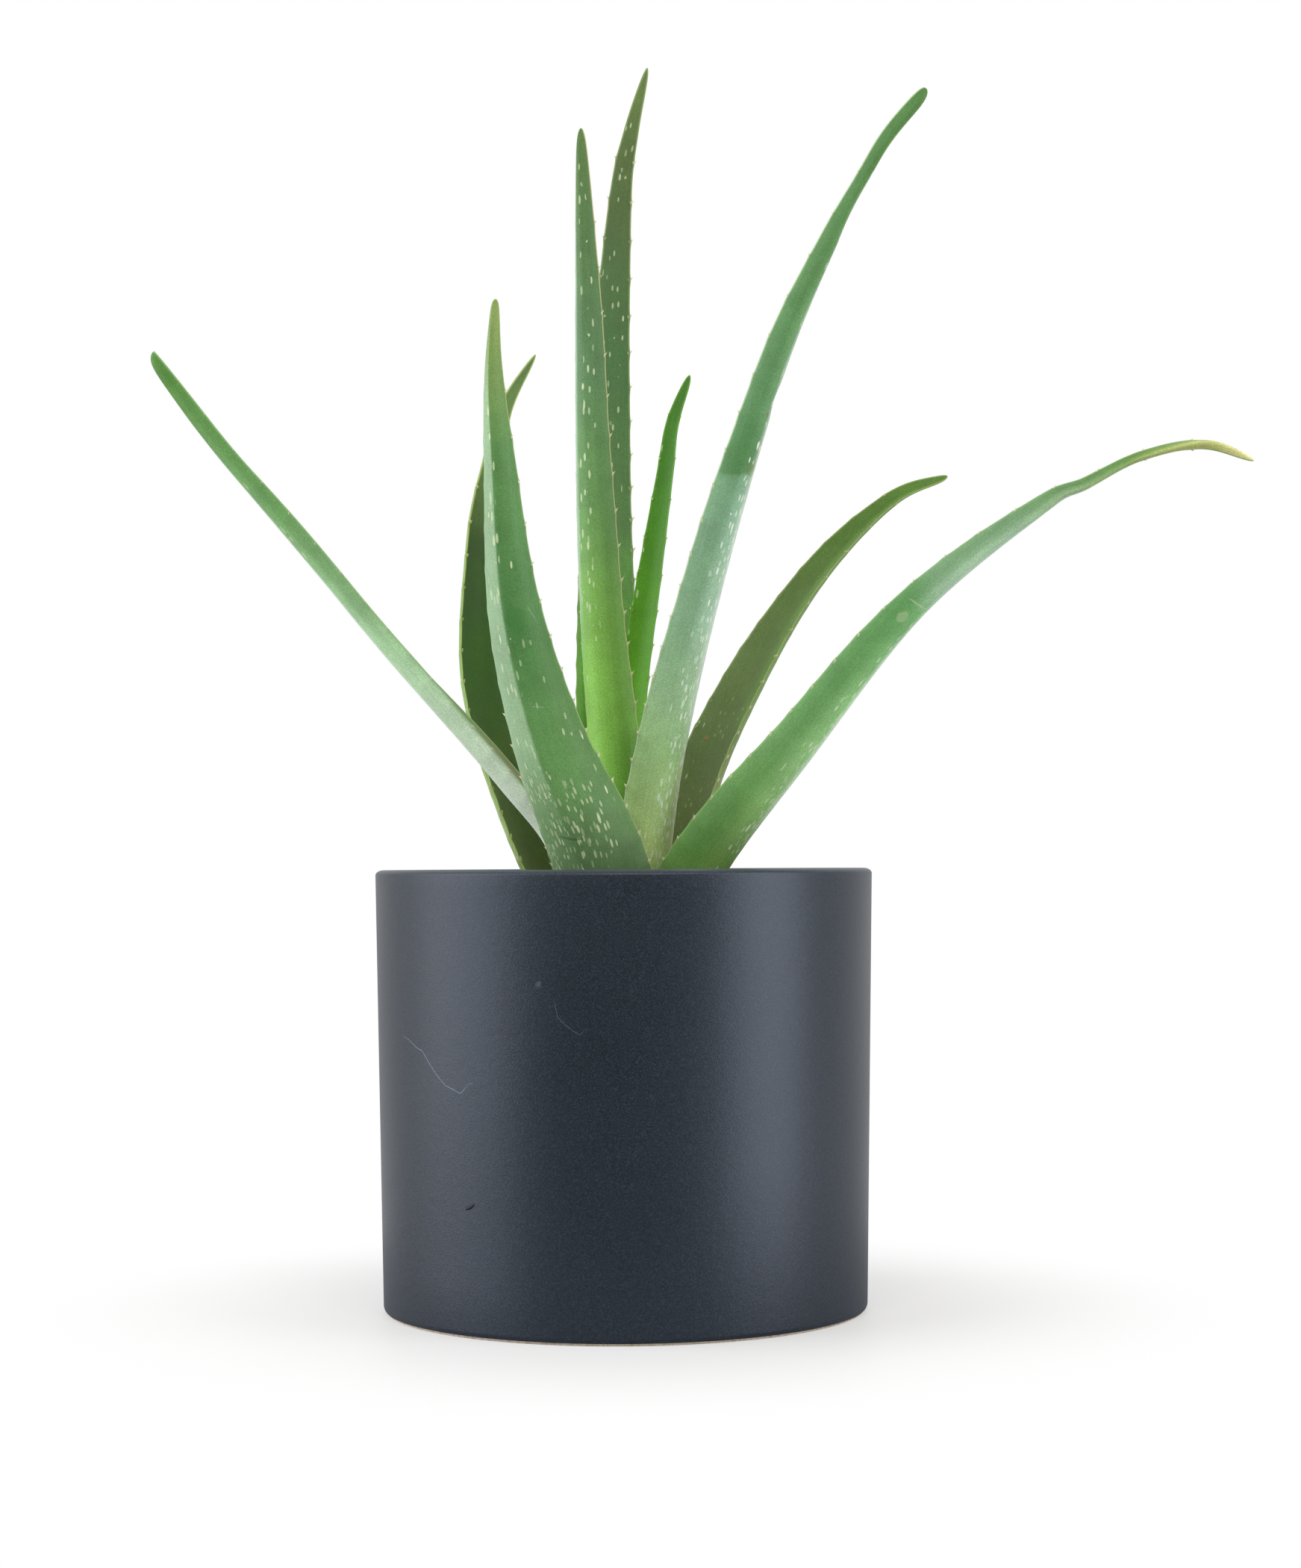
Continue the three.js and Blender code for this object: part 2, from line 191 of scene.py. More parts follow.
# Pot
# A slip-cast stoneware cylinder that narrows slightly downwards, dipped in a dark slate satin
# glaze. The foot is wiped bare, so a thin line of cream clay shows where it stands. The places
# of the standing ring and of the bare edge are measured outwards from the foot's rounding.
POT_HEIGHT = 134.0
POT_RIM_RADIUS = 76.0
POT_LOW_RADIUS = 73.8
POT_WALL = 5.0
POT_FLOOR = 8.0
POT_RIM_ROUND = 1.6
POT_FOOT_ROUND = 2.2
POT_INNER_ROUND = 9.0
POT_SIDES = 256
WALL_STEPS = 40
RIM_STEPS = 25
ROUND_STEPS = 12
POLE_RADIUS = 2.0
BARE_FOOT_HEIGHT = 0.75
FOOT_RECESS = 1.2
STANDING_RING = [(-8.5, FOOT_RECESS), (-7.0, 0.3), (-6.5, 0.0)]
BARE_EDGE = [(0.75, 0.0), (1.1, 0.15), (1.15, 0.7)]
GLAZE_EDGE_TURN = -41


def closed_skin(grid, start, end):
    """Vertices, quads and triangles of a closed skin. The grid's rows are rings that wrap round,
    joined row to row by quads, and a fan of triangles shuts the first ring at the start point and
    the last ring at the end point."""
    rows, columns = grid.shape[:2]
    here = np.arange(columns)
    after = np.roll(here, -1)
    row = np.arange(rows - 1)[:, None] * columns
    quads = np.stack([row + here, row + after, row + columns + after, row + columns + here], -1)
    first = np.full(columns, rows * columns)
    last_row = (rows - 1) * columns
    fans = np.concatenate([
        np.stack([first, after, here], -1),
        np.stack([first + 1, last_row + here, last_row + after], -1),
    ])
    return np.vstack([grid.reshape(-1, 3), start, end]), quads.reshape(-1, 4), fans


def make_piece(name, surface, materials, nodes=()):
    """Puts a surface, its vertices in millimetres and its lists of faces, into a smooth mesh in
    metres, gives it its materials and says which solids it stands for."""
    vertices, *faces = surface
    mesh = bpy.data.meshes.new(name)
    mesh.from_pydata((vertices * MM).tolist(), [], [face for part in faces for face in part.tolist()])
    mesh.shade_smooth()
    for material in materials:
        mesh.materials.append(material)
    piece = bpy.data.objects.new(name, mesh)
    scene.collection.objects.link(piece)
    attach(piece, "root")
    if nodes:
        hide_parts(*nodes)
    return piece


def arc(centre_radius, centre_height, reach_out, reach_up, start, end, steps):
    """Profile points (radius, height) on an ellipse quarter: the centre plus reach times the
    cosine and sine of angles that run evenly from start to end, in degrees."""
    turn = np.radians(np.linspace(start, end, steps))
    return np.stack([centre_radius + reach_out * np.cos(turn), centre_height + reach_up * np.sin(turn)], -1)


def straight(start, end, steps):
    """Profile points (radius, height) spaced evenly from start to end, without the start."""
    share = np.linspace(0, 1, steps)[1:, None]
    return np.array(start) + (np.array(end) - np.array(start)) * share


def lathe(profile, sides):
    """A surface of revolution: each profile point (r, z) becomes the ring (r cos a, r sin a, z)."""
    turn = np.linspace(0, 2 * np.pi, sides, endpoint=False)
    radius, height = profile[:, 0][:, None], profile[:, 1][:, None]
    return np.stack([radius * np.cos(turn), radius * np.sin(turn), height + 0 * turn], -1)


half_wall = POT_WALL / 2
shoulder = POT_HEIGHT - POT_RIM_ROUND
foot_centre = POT_LOW_RADIUS - POT_FOOT_ROUND
inner_radius = POT_LOW_RADIUS - POT_WALL
inner_floor = POT_FLOOR + POT_INNER_ROUND
wall_low, wall_high = (POT_LOW_RADIUS, POT_FOOT_ROUND), (POT_RIM_RADIUS, shoulder)
inside_low, inside_high = (inner_radius, inner_floor), (POT_RIM_RADIUS - POT_WALL, shoulder)
foot_round = (foot_centre, POT_FOOT_ROUND, POT_FOOT_ROUND, POT_FOOT_ROUND)
inner_round = (inner_radius - POT_INNER_ROUND, inner_floor, POT_INNER_ROUND, POT_INNER_ROUND)
pot_profile = np.vstack([
    [[POLE_RADIUS, FOOT_RECESS]],
    [foot_centre, 0.0] + np.array(STANDING_RING + BARE_EDGE),
    arc(*foot_round, GLAZE_EDGE_TURN, 0, ROUND_STEPS),
    straight(wall_low, wall_high, WALL_STEPS)[:-1],
    arc(POT_RIM_RADIUS - half_wall, shoulder, half_wall, POT_RIM_ROUND, 0, 180, RIM_STEPS),
    straight(inside_high, inside_low, WALL_STEPS)[:-1],
    arc(*inner_round, 0, -90, ROUND_STEPS),
    [[POLE_RADIUS, POT_FLOOR]],
])

# Satin slate glaze: a dark matte-melted glaze with a soft sheen and one dull scuff, with a paler
# band of painted highlight along the top of the rim. Its tone drifts over 70 mm, its orange peel
# is 4 mm across, and the grains of its sugary speckle are 0.4 mm, coarser than real so that they show.
GLAZE_DRIFT = [(0.3, "#121a23"), (0.5, "#151d27"), (0.72, "#1a222c")]
GLAZE_SPECKLE = [(0.36, "#0c1218"), (0.5, "#161e26"), (0.64, "#2c353e")]
SPECKLE_SHARE = 0.8
# Painted highlight: a paler band painted along the top 1.4 mm of the rim, its share and tone
RIM_HIGHLIGHT_HEIGHT = 1.4
RIM_HIGHLIGHT_SHARE = 0.25
RIM_HIGHLIGHT_TONE = "#6f7780"
SCUFF_AT = (-24, -71.5, 101.5)
SCUFF_SIZE = 1.4
SCUFF_SHARE = 0.3
SCUFF_TONE = "#6c7a80"
COLOURS = {"data_type": "RGBA", "out": 2}

glaze, add, place = new_finish("slate_satin_glaze")
drift = add("TexNoise", {"Vector": place, "Scale": 14.0, "Detail": 3.0})
drift_tone = add("ValToRGB", [drift], stops=GLAZE_DRIFT)
speckle = add("TexNoise", {"Vector": place, "Scale": 2300.0, "Detail": 2.0, "Roughness": 0.7})
speckle_tone = add("ValToRGB", [speckle], stops=GLAZE_SPECKLE)
speckled = add("Mix", {0: SPECKLE_SHARE, 6: drift_tone, 7: speckle_tone}, **COLOURS)
height = add("SeparateXYZ", [place], out="Z")
# Painted highlight along the top of the rim, where the glaze is painted paler
rim_highlight = add("MapRange", [
    height, (POT_HEIGHT - RIM_HIGHLIGHT_HEIGHT) * MM, POT_HEIGHT * MM, 0.0, RIM_HIGHLIGHT_SHARE,
], **SMOOTH)
rim_highlighted = add("Mix", {0: rim_highlight, 6: speckled, 7: linear(RIM_HIGHLIGHT_TONE)}, **COLOURS)
scuff_centre = [value * MM for value in SCUFF_AT]
away = add("VectorMath", [place, scuff_centre], out="Value", operation="DISTANCE")
ragged = add("TexNoise", {"Vector": place, "Scale": 700.0, "Detail": 2.0})
rough = add("MapRange", [ragged, 0.0, 1.0, -SCUFF_SIZE * MM, SCUFF_SIZE * MM])
reach = add("Math", [away, rough], operation="ADD")
scuffed = add("MapRange", [reach, SCUFF_SIZE * MM, 0.0, 0.0, SCUFF_SHARE], **SMOOTH)
glaze_tone = add("Mix", {0: scuffed, 6: rim_highlighted, 7: linear(SCUFF_TONE)}, **COLOURS)
sugar = add("TexNoise", {"Vector": place, "Scale": 2200.0, "Detail": 1.0})
orange_peel = add("TexNoise", {"Vector": place, "Scale": 260.0, "Detail": 2.0})
relief = add("Math", [sugar, orange_peel], operation="ADD")
bump = add("Bump", {"Height": relief, "Strength": 0.35, "Distance": 0.00012})
gloss = add("MapRange", [drift, 0.3, 0.7, 0.38, 0.44])
add("OutputMaterial", [add("BsdfPrincipled", {
    "Base Color": glaze_tone, "Roughness": gloss, "Normal": bump,
    "IOR": 1.54, "Specular Tint": (0.8, 0.88, 1.0, 1.0),
})])

# Bare stoneware: cream, dry and chalky, with a faint grog speckle of 1 mm
CLAY_TONES = [(0.3, "#c8b498"), (0.5, "#e6d8c0"), (0.75, "#f2e8d8")]
clay, add, place = new_finish("bare_cream_stoneware")
grog = add("TexNoise", {"Vector": place, "Scale": 900.0, "Detail": 3.0})
clay_tone = add("ValToRGB", [grog], stops=CLAY_TONES)
bump = add("Bump", {"Height": grog, "Strength": 0.3, "Distance": 0.0002})
add("OutputMaterial", [add("BsdfPrincipled", {"Base Color": clay_tone, "Roughness": 0.85, "Normal": bump})])

pot_surface = closed_skin(lathe(pot_profile, POT_SIDES), [0, 0, FOOT_RECESS], [0, 0, POT_FLOOR])
pot = make_piece("glazed_pot", pot_surface, [glaze, clay], ["pot"])
corners = pot_surface[0][pot_surface[1]]
face_height = corners[:, :, 2].max(axis=1)
face_radius = np.hypot(corners[:, :, 0], corners[:, :, 1]).min(axis=1)
bare = (face_height < BARE_FOOT_HEIGHT) | ((face_height < 2 * FOOT_RECESS) & (face_radius < foot_centre))
underside_fan = np.arange(2 * POT_SIDES) < POT_SIDES
pot.data.polygons.foreach_set("material_index", np.concatenate([bare, underside_fan]).astype(np.int32))
pot.data.update()

# Flaws in the glaze: two hair scratches, thin and pale, and a dark matt spot where a pinhole
# opened in the kiln. Each follows a path of places on the wall, as degrees round it and height.
GLAZE_FLAWS = {
    "glaze_pinhole": {"half": 0.8, "tone": "#2a323b", "path": [(232, 37), (234.6, 38.8)]},
    "hair_scratch": {"half": 0.12, "tone": "#7c8894", "path": [
        (210, 85.5), (213, 84.5), (216, 82.5), (218.5, 81.5), (220, 79.5), (223.5, 75),
        (226.5, 72), (229, 71), (231, 70), (232, 71), (233.5, 73), (235, 73),
    ]},
    "faint_scratch": {"half": 0.08, "tone": "#4c5864", "path": [
        (254.5, 98.5), (255, 95.5), (255.5, 92.5), (257, 90.5), (259, 88.5), (260.5, 87.5), (261.5, 89),
    ]},
}
FLAW_STEPS = 90
FLAW_PROUD = 0.04
FLAW_ROOT = 0.1


def flaw_line(path, half):
    """A flat four-sided thread along a path on the wall. Its middle runs straight from place to
    place, its width goes to nothing at both ends with the square root of a sine, and a third of
    its thickness stands out of the wall."""
    share = np.linspace(0, 1, FLAW_STEPS)
    places = np.array(path, float)
    marks = np.linspace(0, 1, len(places))
    turn = np.radians(np.interp(share, marks, places[:, 0]))
    height = np.interp(share, marks, places[:, 1])
    climb = (height - POT_FOOT_ROUND) / (shoulder - POT_FOOT_ROUND)
    radius = POT_LOW_RADIUS + (POT_RIM_RADIUS - POT_LOW_RADIUS) * climb
    out = np.stack([np.cos(turn), np.sin(turn), 0 * turn], -1)
    middle = out * radius[:, None] + np.stack([0 * turn, 0 * turn, height], -1)
    across = np.cross(out, np.gradient(middle, axis=0))
    across /= np.linalg.norm(across, axis=1)[:, None]
    wide = half * np.sqrt(np.sin(np.pi * np.clip(share, 0.01, 0.99)))[:, None]
    ring = [across * wide, out * FLAW_PROUD, -across * wide, -out * FLAW_ROOT]
    return np.stack([middle + side for side in ring], axis=1)


for name, flaw in GLAZE_FLAWS.items():
    # Scratched glaze: dull, without the sheen of the skin round it
    flaw_finish = bpy.data.materials.new(name + "_glaze")
    add = empty_nodes(flaw_finish)
    add("OutputMaterial", [add("BsdfPrincipled", {
        "Base Color": linear(flaw["tone"]), "Roughness": 0.6, "Specular IOR Level": 0.3,
    })])
    line = flaw_line(flaw["path"], flaw["half"])
    make_piece(name, closed_skin(line, line[0].mean(axis=0), line[-1].mean(axis=0)), [flaw_finish])


# Potting soil
# A loose mix of dark peat and bark fines, filled to a finger's width below the rim, with crumbs,
# bark chips and a few white grains of perlite lying on it. It is watered, so it is nearly black.
SOIL_TOP = 112.0
SOIL_SETTLED = 1.0
SOIL_EDGE_DIP = 2.0
SOIL_EDGE_WIDTH = 8.0
SOIL_EDGE_LOW = 5.0
SOIL_GAP = 0.3
SOIL_CLEAR = 0.1
SOIL_SIDES = 220
SOIL_RINGS = 90
SOIL_SIDE_STEPS = 14
SOIL_ROUND_STEPS = 8
SOIL_LUMP = 0.88
SOIL_LUMPS = ((19, 3, 1.0), (7, 4, 0.55), (2.6, 5, 0.3))
HOLLOW_DEPTH = 2.0
HOLLOW_REACH = 24.0
CROWN_RADIUS = 15.0
CRUMBS = {
    "soil_crumbs": {"count": 850, "size": (0.8, 2.6), "flat": 0.8},
    "bark_chips": {"count": 110, "size": (2.2, 5.2), "flat": 0.34},
    "perlite_grains": {"count": 42, "size": (1.1, 2.2), "flat": 0.9},
}
CRUMB_SEED = 11
CRUMB_RINGS, CRUMB_SIDES = 3, 6
CRUMB_SHAKE = (0.75, 1.2)
CRUMB_NARROW = 0.72
CRUMB_TIP = 0.25
CRUMB_LIFT = 0.35
CRUMB_CLEAR = 3.0


def lumps(x, y, size, seed):
    """A smooth random height between about -1 and 1: the mean of eight seeded plane waves, each
    the sine of the distance along its own direction over about the given size."""
    draw = np.random.default_rng(seed)
    angle, phase = draw.uniform(0, 2 * np.pi, (2, 8))
    pitch = size * draw.uniform(0.6, 1.5, 8)
    along = x[..., None] * np.cos(angle) + y[..., None] * np.sin(angle)
    return np.sin(2 * np.pi * along / pitch + phase).mean(axis=-1) * 2.0


def soil_level(x, y):
    """Height of the soil: level, dipping where it meets the wall, with lumps of 19, 7 and 2.6 mm
    across and a slight hollow round the crown."""
    radius = np.hypot(x, y)
    edge = POT_RIM_RADIUS - POT_WALL
    dip = np.clip((radius - edge + SOIL_EDGE_WIDTH) / SOIL_EDGE_WIDTH, 0, 1) ** 2
    hollow = np.exp(-((radius / HOLLOW_REACH) ** 2))
    rough = sum(share * lumps(x, y, size, seed) for size, seed, share in SOIL_LUMPS)
    return SOIL_TOP - SOIL_SETTLED - SOIL_EDGE_DIP * dip - HOLLOW_DEPTH * hollow + SOIL_LUMP * rough


slope = (POT_RIM_RADIUS - POT_LOW_RADIUS) / POT_HEIGHT
soil_radius = inner_radius - SOIL_GAP
soil_floor = POT_FLOOR + SOIL_GAP
soil_edge = soil_radius + slope * SOIL_TOP - SOIL_CLEAR
soil_bend = soil_floor + POT_INNER_ROUND
soil_round = (soil_radius - POT_INNER_ROUND, soil_bend, POT_INNER_ROUND, POT_INNER_ROUND)
side = lathe(np.vstack([
    [[POLE_RADIUS, soil_floor]],
    arc(*soil_round, -90, 0, SOIL_ROUND_STEPS),
    straight((soil_radius, soil_bend), (soil_edge, SOIL_TOP - SOIL_EDGE_LOW), SOIL_SIDE_STEPS),
]), SOIL_SIDES)
top_radius = np.linspace(soil_edge, POLE_RADIUS / 2, SOIL_RINGS)
top = lathe(np.stack([top_radius, top_radius * 0], -1), SOIL_SIDES)
top[..., 2] = soil_level(top[..., 0], top[..., 1])
centre_level = float(soil_level(np.zeros(1), np.zeros(1))[0])

# Wet peat: near-black brown crumbs of 1.6 mm with threads of paler fibre, dull, with a damp glint
CRUMB_TONES = [(0.0, "#17100c"), (0.45, "#2a1d15"), (0.8, "#3b2a1e"), (1.0, "#5a4532")]
FIBRE_TONE = "#6b543d"
peat, add, place = new_finish("damp_peat_mix")
crumb = add("TexVoronoi", {"Vector": place, "Scale": 620.0}, out="Distance")
crumb_tone = add("ValToRGB", [crumb.node.outputs["Color"]], stops=CRUMB_TONES)
fibre_place = add("Mapping", {"Vector": place, "Scale": (90.0, 900.0, 500.0)})
fibre = add("TexNoise", {"Vector": fibre_place, "Scale": 1.0, "Detail": 4.0})
fibre_share = add("MapRange", [fibre, 0.62, 0.74, 0.0, 0.5])
fibred = add("Mix", {0: fibre_share, 6: crumb_tone, 7: linear(FIBRE_TONE)}, **COLOURS)
grain = add("TexNoise", {"Vector": place, "Scale": 1100.0, "Detail": 3.0})
bump = add("Bump", {"Height": crumb, "Strength": 0.8, "Distance": 0.0008})
fine = add("Bump", {"Height": grain, "Strength": 0.6, "Distance": 0.0004, "Normal": bump})
add("OutputMaterial", [add("BsdfPrincipled", {"Base Color": fibred, "Roughness": 0.88, "Normal": fine})])

soil_surface = closed_skin(np.vstack([side, top]), [0, 0, soil_floor], [0, 0, centre_level])
make_piece("potting_soil_bed", soil_surface, [peat], ["potting_soil"])

# Bark chip: shredded pine bark, reddish brown with dark layers 2 mm apart
BARK_TONES = [(0.3, "#2b1b12"), (0.5, "#4d3424"), (0.7, "#7a5a40")]
bark, add, place = new_finish("shredded_pine_bark")
layer = add("TexNoise", {"Vector": place, "Scale": 420.0, "Detail": 5.0, "Roughness": 0.7})
bark_tone = add("ValToRGB", [layer], stops=BARK_TONES)
bump = add("Bump", {"Height": layer, "Strength": 0.7, "Distance": 0.0005})
add("OutputMaterial", [add("BsdfPrincipled", {"Base Color": bark_tone, "Roughness": 0.8, "Normal": bump})])

# Perlite: popped volcanic glass, white, dry and full of tiny pits 0.4 mm apart
PIT_TONES = [(0.0, "#9d978d"), (0.4, "#dcd8cf"), (1.0, "#f0eee8")]
perlite, add, place = new_finish("expanded_perlite")
pits = add("TexVoronoi", {"Vector": place, "Scale": 2600.0}, out="Distance")
pit_tone = add("ValToRGB", [pits], stops=PIT_TONES)
add("OutputMaterial", [add("BsdfPrincipled", {"Base Color": pit_tone, "Roughness": 0.9})])


def repeated_faces(count, rows, columns, first=0):
    """Quads and triangles of many like closed skins of a few rings each, whose vertices follow
    one another, the first skin's from the given number on."""
    points, quads, fans = closed_skin(np.zeros((rows, columns, 3)), [0, 0, 0], [0, 0, 0])
    step = (first + np.arange(count) * len(points))[:, None, None]
    return (quads + step).reshape(-1, 4), (fans + step).reshape(-1, 3)


def scatter(count, size, flat, seed):
    """Crumbs on the soil: each is a ball of three rings of six whose radius is shaken by up to a quarter,
    flattened, turned by a random angle and sunk a third of its height into the soil."""
    draw = np.random.default_rng(seed)
    reach = POT_RIM_RADIUS - POT_WALL - CRUMB_CLEAR
    radius = np.sqrt(draw.uniform((CROWN_RADIUS / reach) ** 2, 1.0, count)) * reach
    heading, turn, tip = draw.uniform(0, 2 * np.pi, (3, count))
    across = draw.uniform(size[0], size[1], count) / 2
    latitude = np.linspace(-0.5, 0.5, CRUMB_RINGS + 2)[1:-1] * np.pi
    longitude = np.linspace(0, 2 * np.pi, CRUMB_SIDES, endpoint=False)
    ring = np.stack([
        np.cos(latitude)[:, None] * np.cos(longitude),
        np.cos(latitude)[:, None] * np.sin(longitude),
        np.sin(latitude)[:, None] + 0 * longitude,
    ], -1).reshape(-1, 3)
    ball = np.vstack([ring, [0, 0, -1], [0, 0, 1]])
    shape = ball * draw.uniform(*CRUMB_SHAKE, (count, len(ball), 1)) * [1.0, CRUMB_NARROW, flat]
    x = shape[..., 0] * np.cos(turn)[:, None] - shape[..., 1] * np.sin(turn)[:, None]
    y = shape[..., 0] * np.sin(turn)[:, None] + shape[..., 1] * np.cos(turn)[:, None]
    z = shape[..., 2] + CRUMB_TIP * x * np.cos(tip)[:, None]
    cx, cy = radius * np.cos(heading), radius * np.sin(heading)
    lift = soil_level(cx, cy) + across * flat * CRUMB_LIFT
    points = np.stack([x, y, z], -1) * across[:, None, None] + np.stack([cx, cy, lift], -1)[:, None]
    return points.reshape(-1, 3), *repeated_faces(count, CRUMB_RINGS, CRUMB_SIDES)


for number, (name, crumbs) in enumerate(CRUMBS.items()):
    finish = {"soil_crumbs": peat, "bark_chips": bark, "perlite_grains": perlite}[name]
    make_piece(name, scatter(**crumbs, seed=CRUMB_SEED + number), [finish])


# Stem
# The short crown that every leaf grows from, a fleshy disc wrapped in the dry straw-coloured
# remains of old leaf bases, whose edges ring it and whose folds run up it.
STEM_RADIUS = 14.0
STEM_BOTTOM = SOIL_TOP - 42.0
STEM_SHOULDER = SOIL_TOP - 6.0
STEM_TOP = SOIL_TOP + 1.0
STEM_FOOT_RADIUS = 0.6 * STEM_RADIUS
STEM_WAIST = STEM_BOTTOM + 12.0
STEM_SIDES = 120
SCAR_PITCH = 4.5
SCAR_DEPTH = 0.035
STEM_FOLDS = 9
FOLD_TWIST = 0.3
FOLD_DEPTH = 0.012

stem_grid = lathe(np.vstack([
    [[POLE_RADIUS / 2, STEM_BOTTOM], [STEM_FOOT_RADIUS, STEM_BOTTOM]],
    straight((STEM_FOOT_RADIUS, STEM_BOTTOM), (STEM_RADIUS, STEM_WAIST), 12),
    straight((STEM_RADIUS, STEM_WAIST), (STEM_RADIUS, STEM_SHOULDER), 31),
    arc(0, STEM_SHOULDER, STEM_RADIUS, STEM_TOP - STEM_SHOULDER, 4, 84, 16),
]), STEM_SIDES)
stem_turn = np.arctan2(stem_grid[..., 1], stem_grid[..., 0])
scar = 0.5 + 0.5 * np.cos(2 * np.pi * stem_grid[..., 2] / SCAR_PITCH + stem_turn)
fold = np.cos(STEM_FOLDS * stem_turn + FOLD_TWIST * stem_grid[..., 2])
stem_grid[..., :2] *= (1 - SCAR_DEPTH * scar ** 3 - FOLD_DEPTH * fold)[..., None]

# Dry leaf base: papery straw over pale flesh, with fibres 1 mm wide and 17 mm long
HUSK_TONES = [(0.28, "#7d6238"), (0.5, "#b8a06c"), (0.72, "#d8cb9c")]
husk, add, place = new_finish("dry_leaf_base")
fibre_place = add("Mapping", {"Vector": place, "Scale": (900.0, 900.0, 60.0)})
fibre = add("TexNoise", {"Vector": fibre_place, "Scale": 1.0, "Detail": 4.0})
husk_tone = add("ValToRGB", [fibre], stops=HUSK_TONES)
bump = add("Bump", {"Height": fibre, "Strength": 0.5, "Distance": 0.0005})
add("OutputMaterial", [add("BsdfPrincipled", {"Base Color": husk_tone, "Roughness": 0.75, "Normal": bump})])

stem_surface = closed_skin(stem_grid, [0, 0, STEM_BOTTOM], [0, 0, STEM_TOP])
make_piece("crown_stem", stem_surface, [husk], ["stem"])


# Leaves
# Nine fleshy tapering blades, each channelled above and full-bellied beneath, with hooked teeth
# along both margins. They grow from the crown, the oldest outermost. The skin is waxy and
# matte, with pale dashes that lie along the leaf and are densest low on the underside.
BELLY_POWER = 0.6
TIP_ROUND = 2.2
TIP_THICK_SHARE = 0.8
THICK_LIMIT = 1.9
BLADE_ROWS = 300
BLADE_COLUMNS = 72
ROW_CROWDING = 1.4
LAST_RING = 0.9996
SLIM_FROM = 0.9
TIP_SLIM = 0.1
KEEL_WIDTH = 0.22
RIPPLE = 0.16
RIPPLE_LENGTHS = ((9,), (23,))
FULL_RIPPLE_HALF = 4.0
SWELLING = 0.32
SWELLING_REACH = 1.7
TOOTH_PITCH_BASE = 6.0
TOOTH_PITCH_GAIN = 9.0
TOOTH_RADIUS = 1.6
TOOTH_POINTING = 1.3
TOOTH_FLATNESS = 0.45
TOOTH_SHRINK = 0.45
TOOTH_LEAN = 0.3
TOOTH_HOOK = 0.5
TOOTH_TURN = 0.3
TOOTH_ROOT = 0.6
TOOTH_ROOT_LIMIT = 0.6
TOOTH_LEVEL = 0.2
TOOTH_FIRST = 0.16
TOOTH_LAST = 0.93
TOOTH_SIDES = 6
TOOTH_RINGS = 5
TOOTH_LAST_RING = 0.9
HOOK_ROOT_MARK = 0.35
EDGE_TURNING = 1.6
DASH_TONE = "#d3dfb6"
BLOOM = 0.03


def spline(points, share):
    """Points and length of a Catmull-Rom spline, at shares of its length. Each span is the cubic
    through its two ends whose slopes there are half the chord between their neighbours, and the
    ends have a mirrored neighbour. Length is measured on 2,000 short chords."""
    points = np.asarray(points, float)
    spans = len(points) - 1
    held = np.vstack([2 * points[0] - points[1], points, 2 * points[-1] - points[-2]])

    def at(t):
        place = np.clip(t * spans, 0, spans - 1e-9)
        i = place.astype(int)
        f = (place - i)[:, None]
        a, b, c, d = held[i], held[i + 1], held[i + 2], held[i + 3]
        return 0.5 * (
            2 * b + (c - a) * f + (2 * a - 5 * b + 4 * c - d) * f ** 2 + (3 * b - a - 3 * c + d) * f ** 3
        )

    t = np.linspace(0, 1, 2001)
    chords = np.linalg.norm(np.diff(at(t), axis=0), axis=1)
    run = np.concatenate([[0], np.cumsum(chords)])
    t_share = np.interp(np.asarray(share) * run[-1], run, t)
    ahead = at(np.clip(t_share + 1e-3, 0, 1)) - at(np.clip(t_share - 1e-3, 0, 1))
    return at(t_share), ahead / np.linalg.norm(ahead, axis=1)[:, None], run[-1]


def leaf_frame(leaf, share):
    """Centre line, direction along, direction across and direction out of the underside. Out is
    the horizontal direction that the leaf faces, turned evenly from base to tip and made square
    to the centre line, and across is square to both."""
    centre, along, length = spline(leaf["spine"], share)
    base, tip = leaf["facing"]
    facing = np.radians(base + (tip - base) * share)
    out = np.stack([np.cos(facing), np.sin(facing), 0 * facing], -1)
    out -= (out * along).sum(axis=1)[:, None] * along
    out /= np.linalg.norm(out, axis=1)[:, None]
    return centre, along, np.cross(along, out), out, length


def leaf_size(leaf, share, length):
    """Half width, thickness and channel depth. Width and thickness fall from base to tip with the
    remaining length to a power, ending in a tip that is rounded off in its last millimetres, where
    the factor is the square root of one minus the share to the power length over rounding. A waist
    narrows a blade by its depth at its share of the length, fading out over its reach."""
    left = np.maximum(1 - share, 0)
    blunt = np.sqrt(np.maximum(1 - share ** (length / leaf.get("round", TIP_ROUND)), 1e-6))
    at, depth, reach = leaf.get("waist", (1, 0, 1))
    narrow = 1 - depth * np.exp(-(((share - at) / reach) ** 2))
    half = 0.5 * (leaf["tip"] + (leaf["width"] - leaf["tip"]) * left ** leaf["taper"]) * narrow * blunt
    tip_thick = TIP_THICK_SHARE * leaf["tip"]
    thick = (tip_thick + (leaf["thick"] - tip_thick) * left ** leaf["thin"]) * blunt
    return half, np.minimum(thick, THICK_LIMIT * half), leaf["dish"] * 2 * half * (1 - share ** 2)


def tooth_shares(length):
    """Where teeth stand: the spacing grows evenly from 6 mm at the base to 15 mm at the tip."""
    shares = [TOOTH_FIRST]
    while shares[-1] < TOOTH_LAST:
        shares.append(shares[-1] + (TOOTH_PITCH_BASE + TOOTH_PITCH_GAIN * shares[-1]) / length)
    return np.array(shares[:-1])


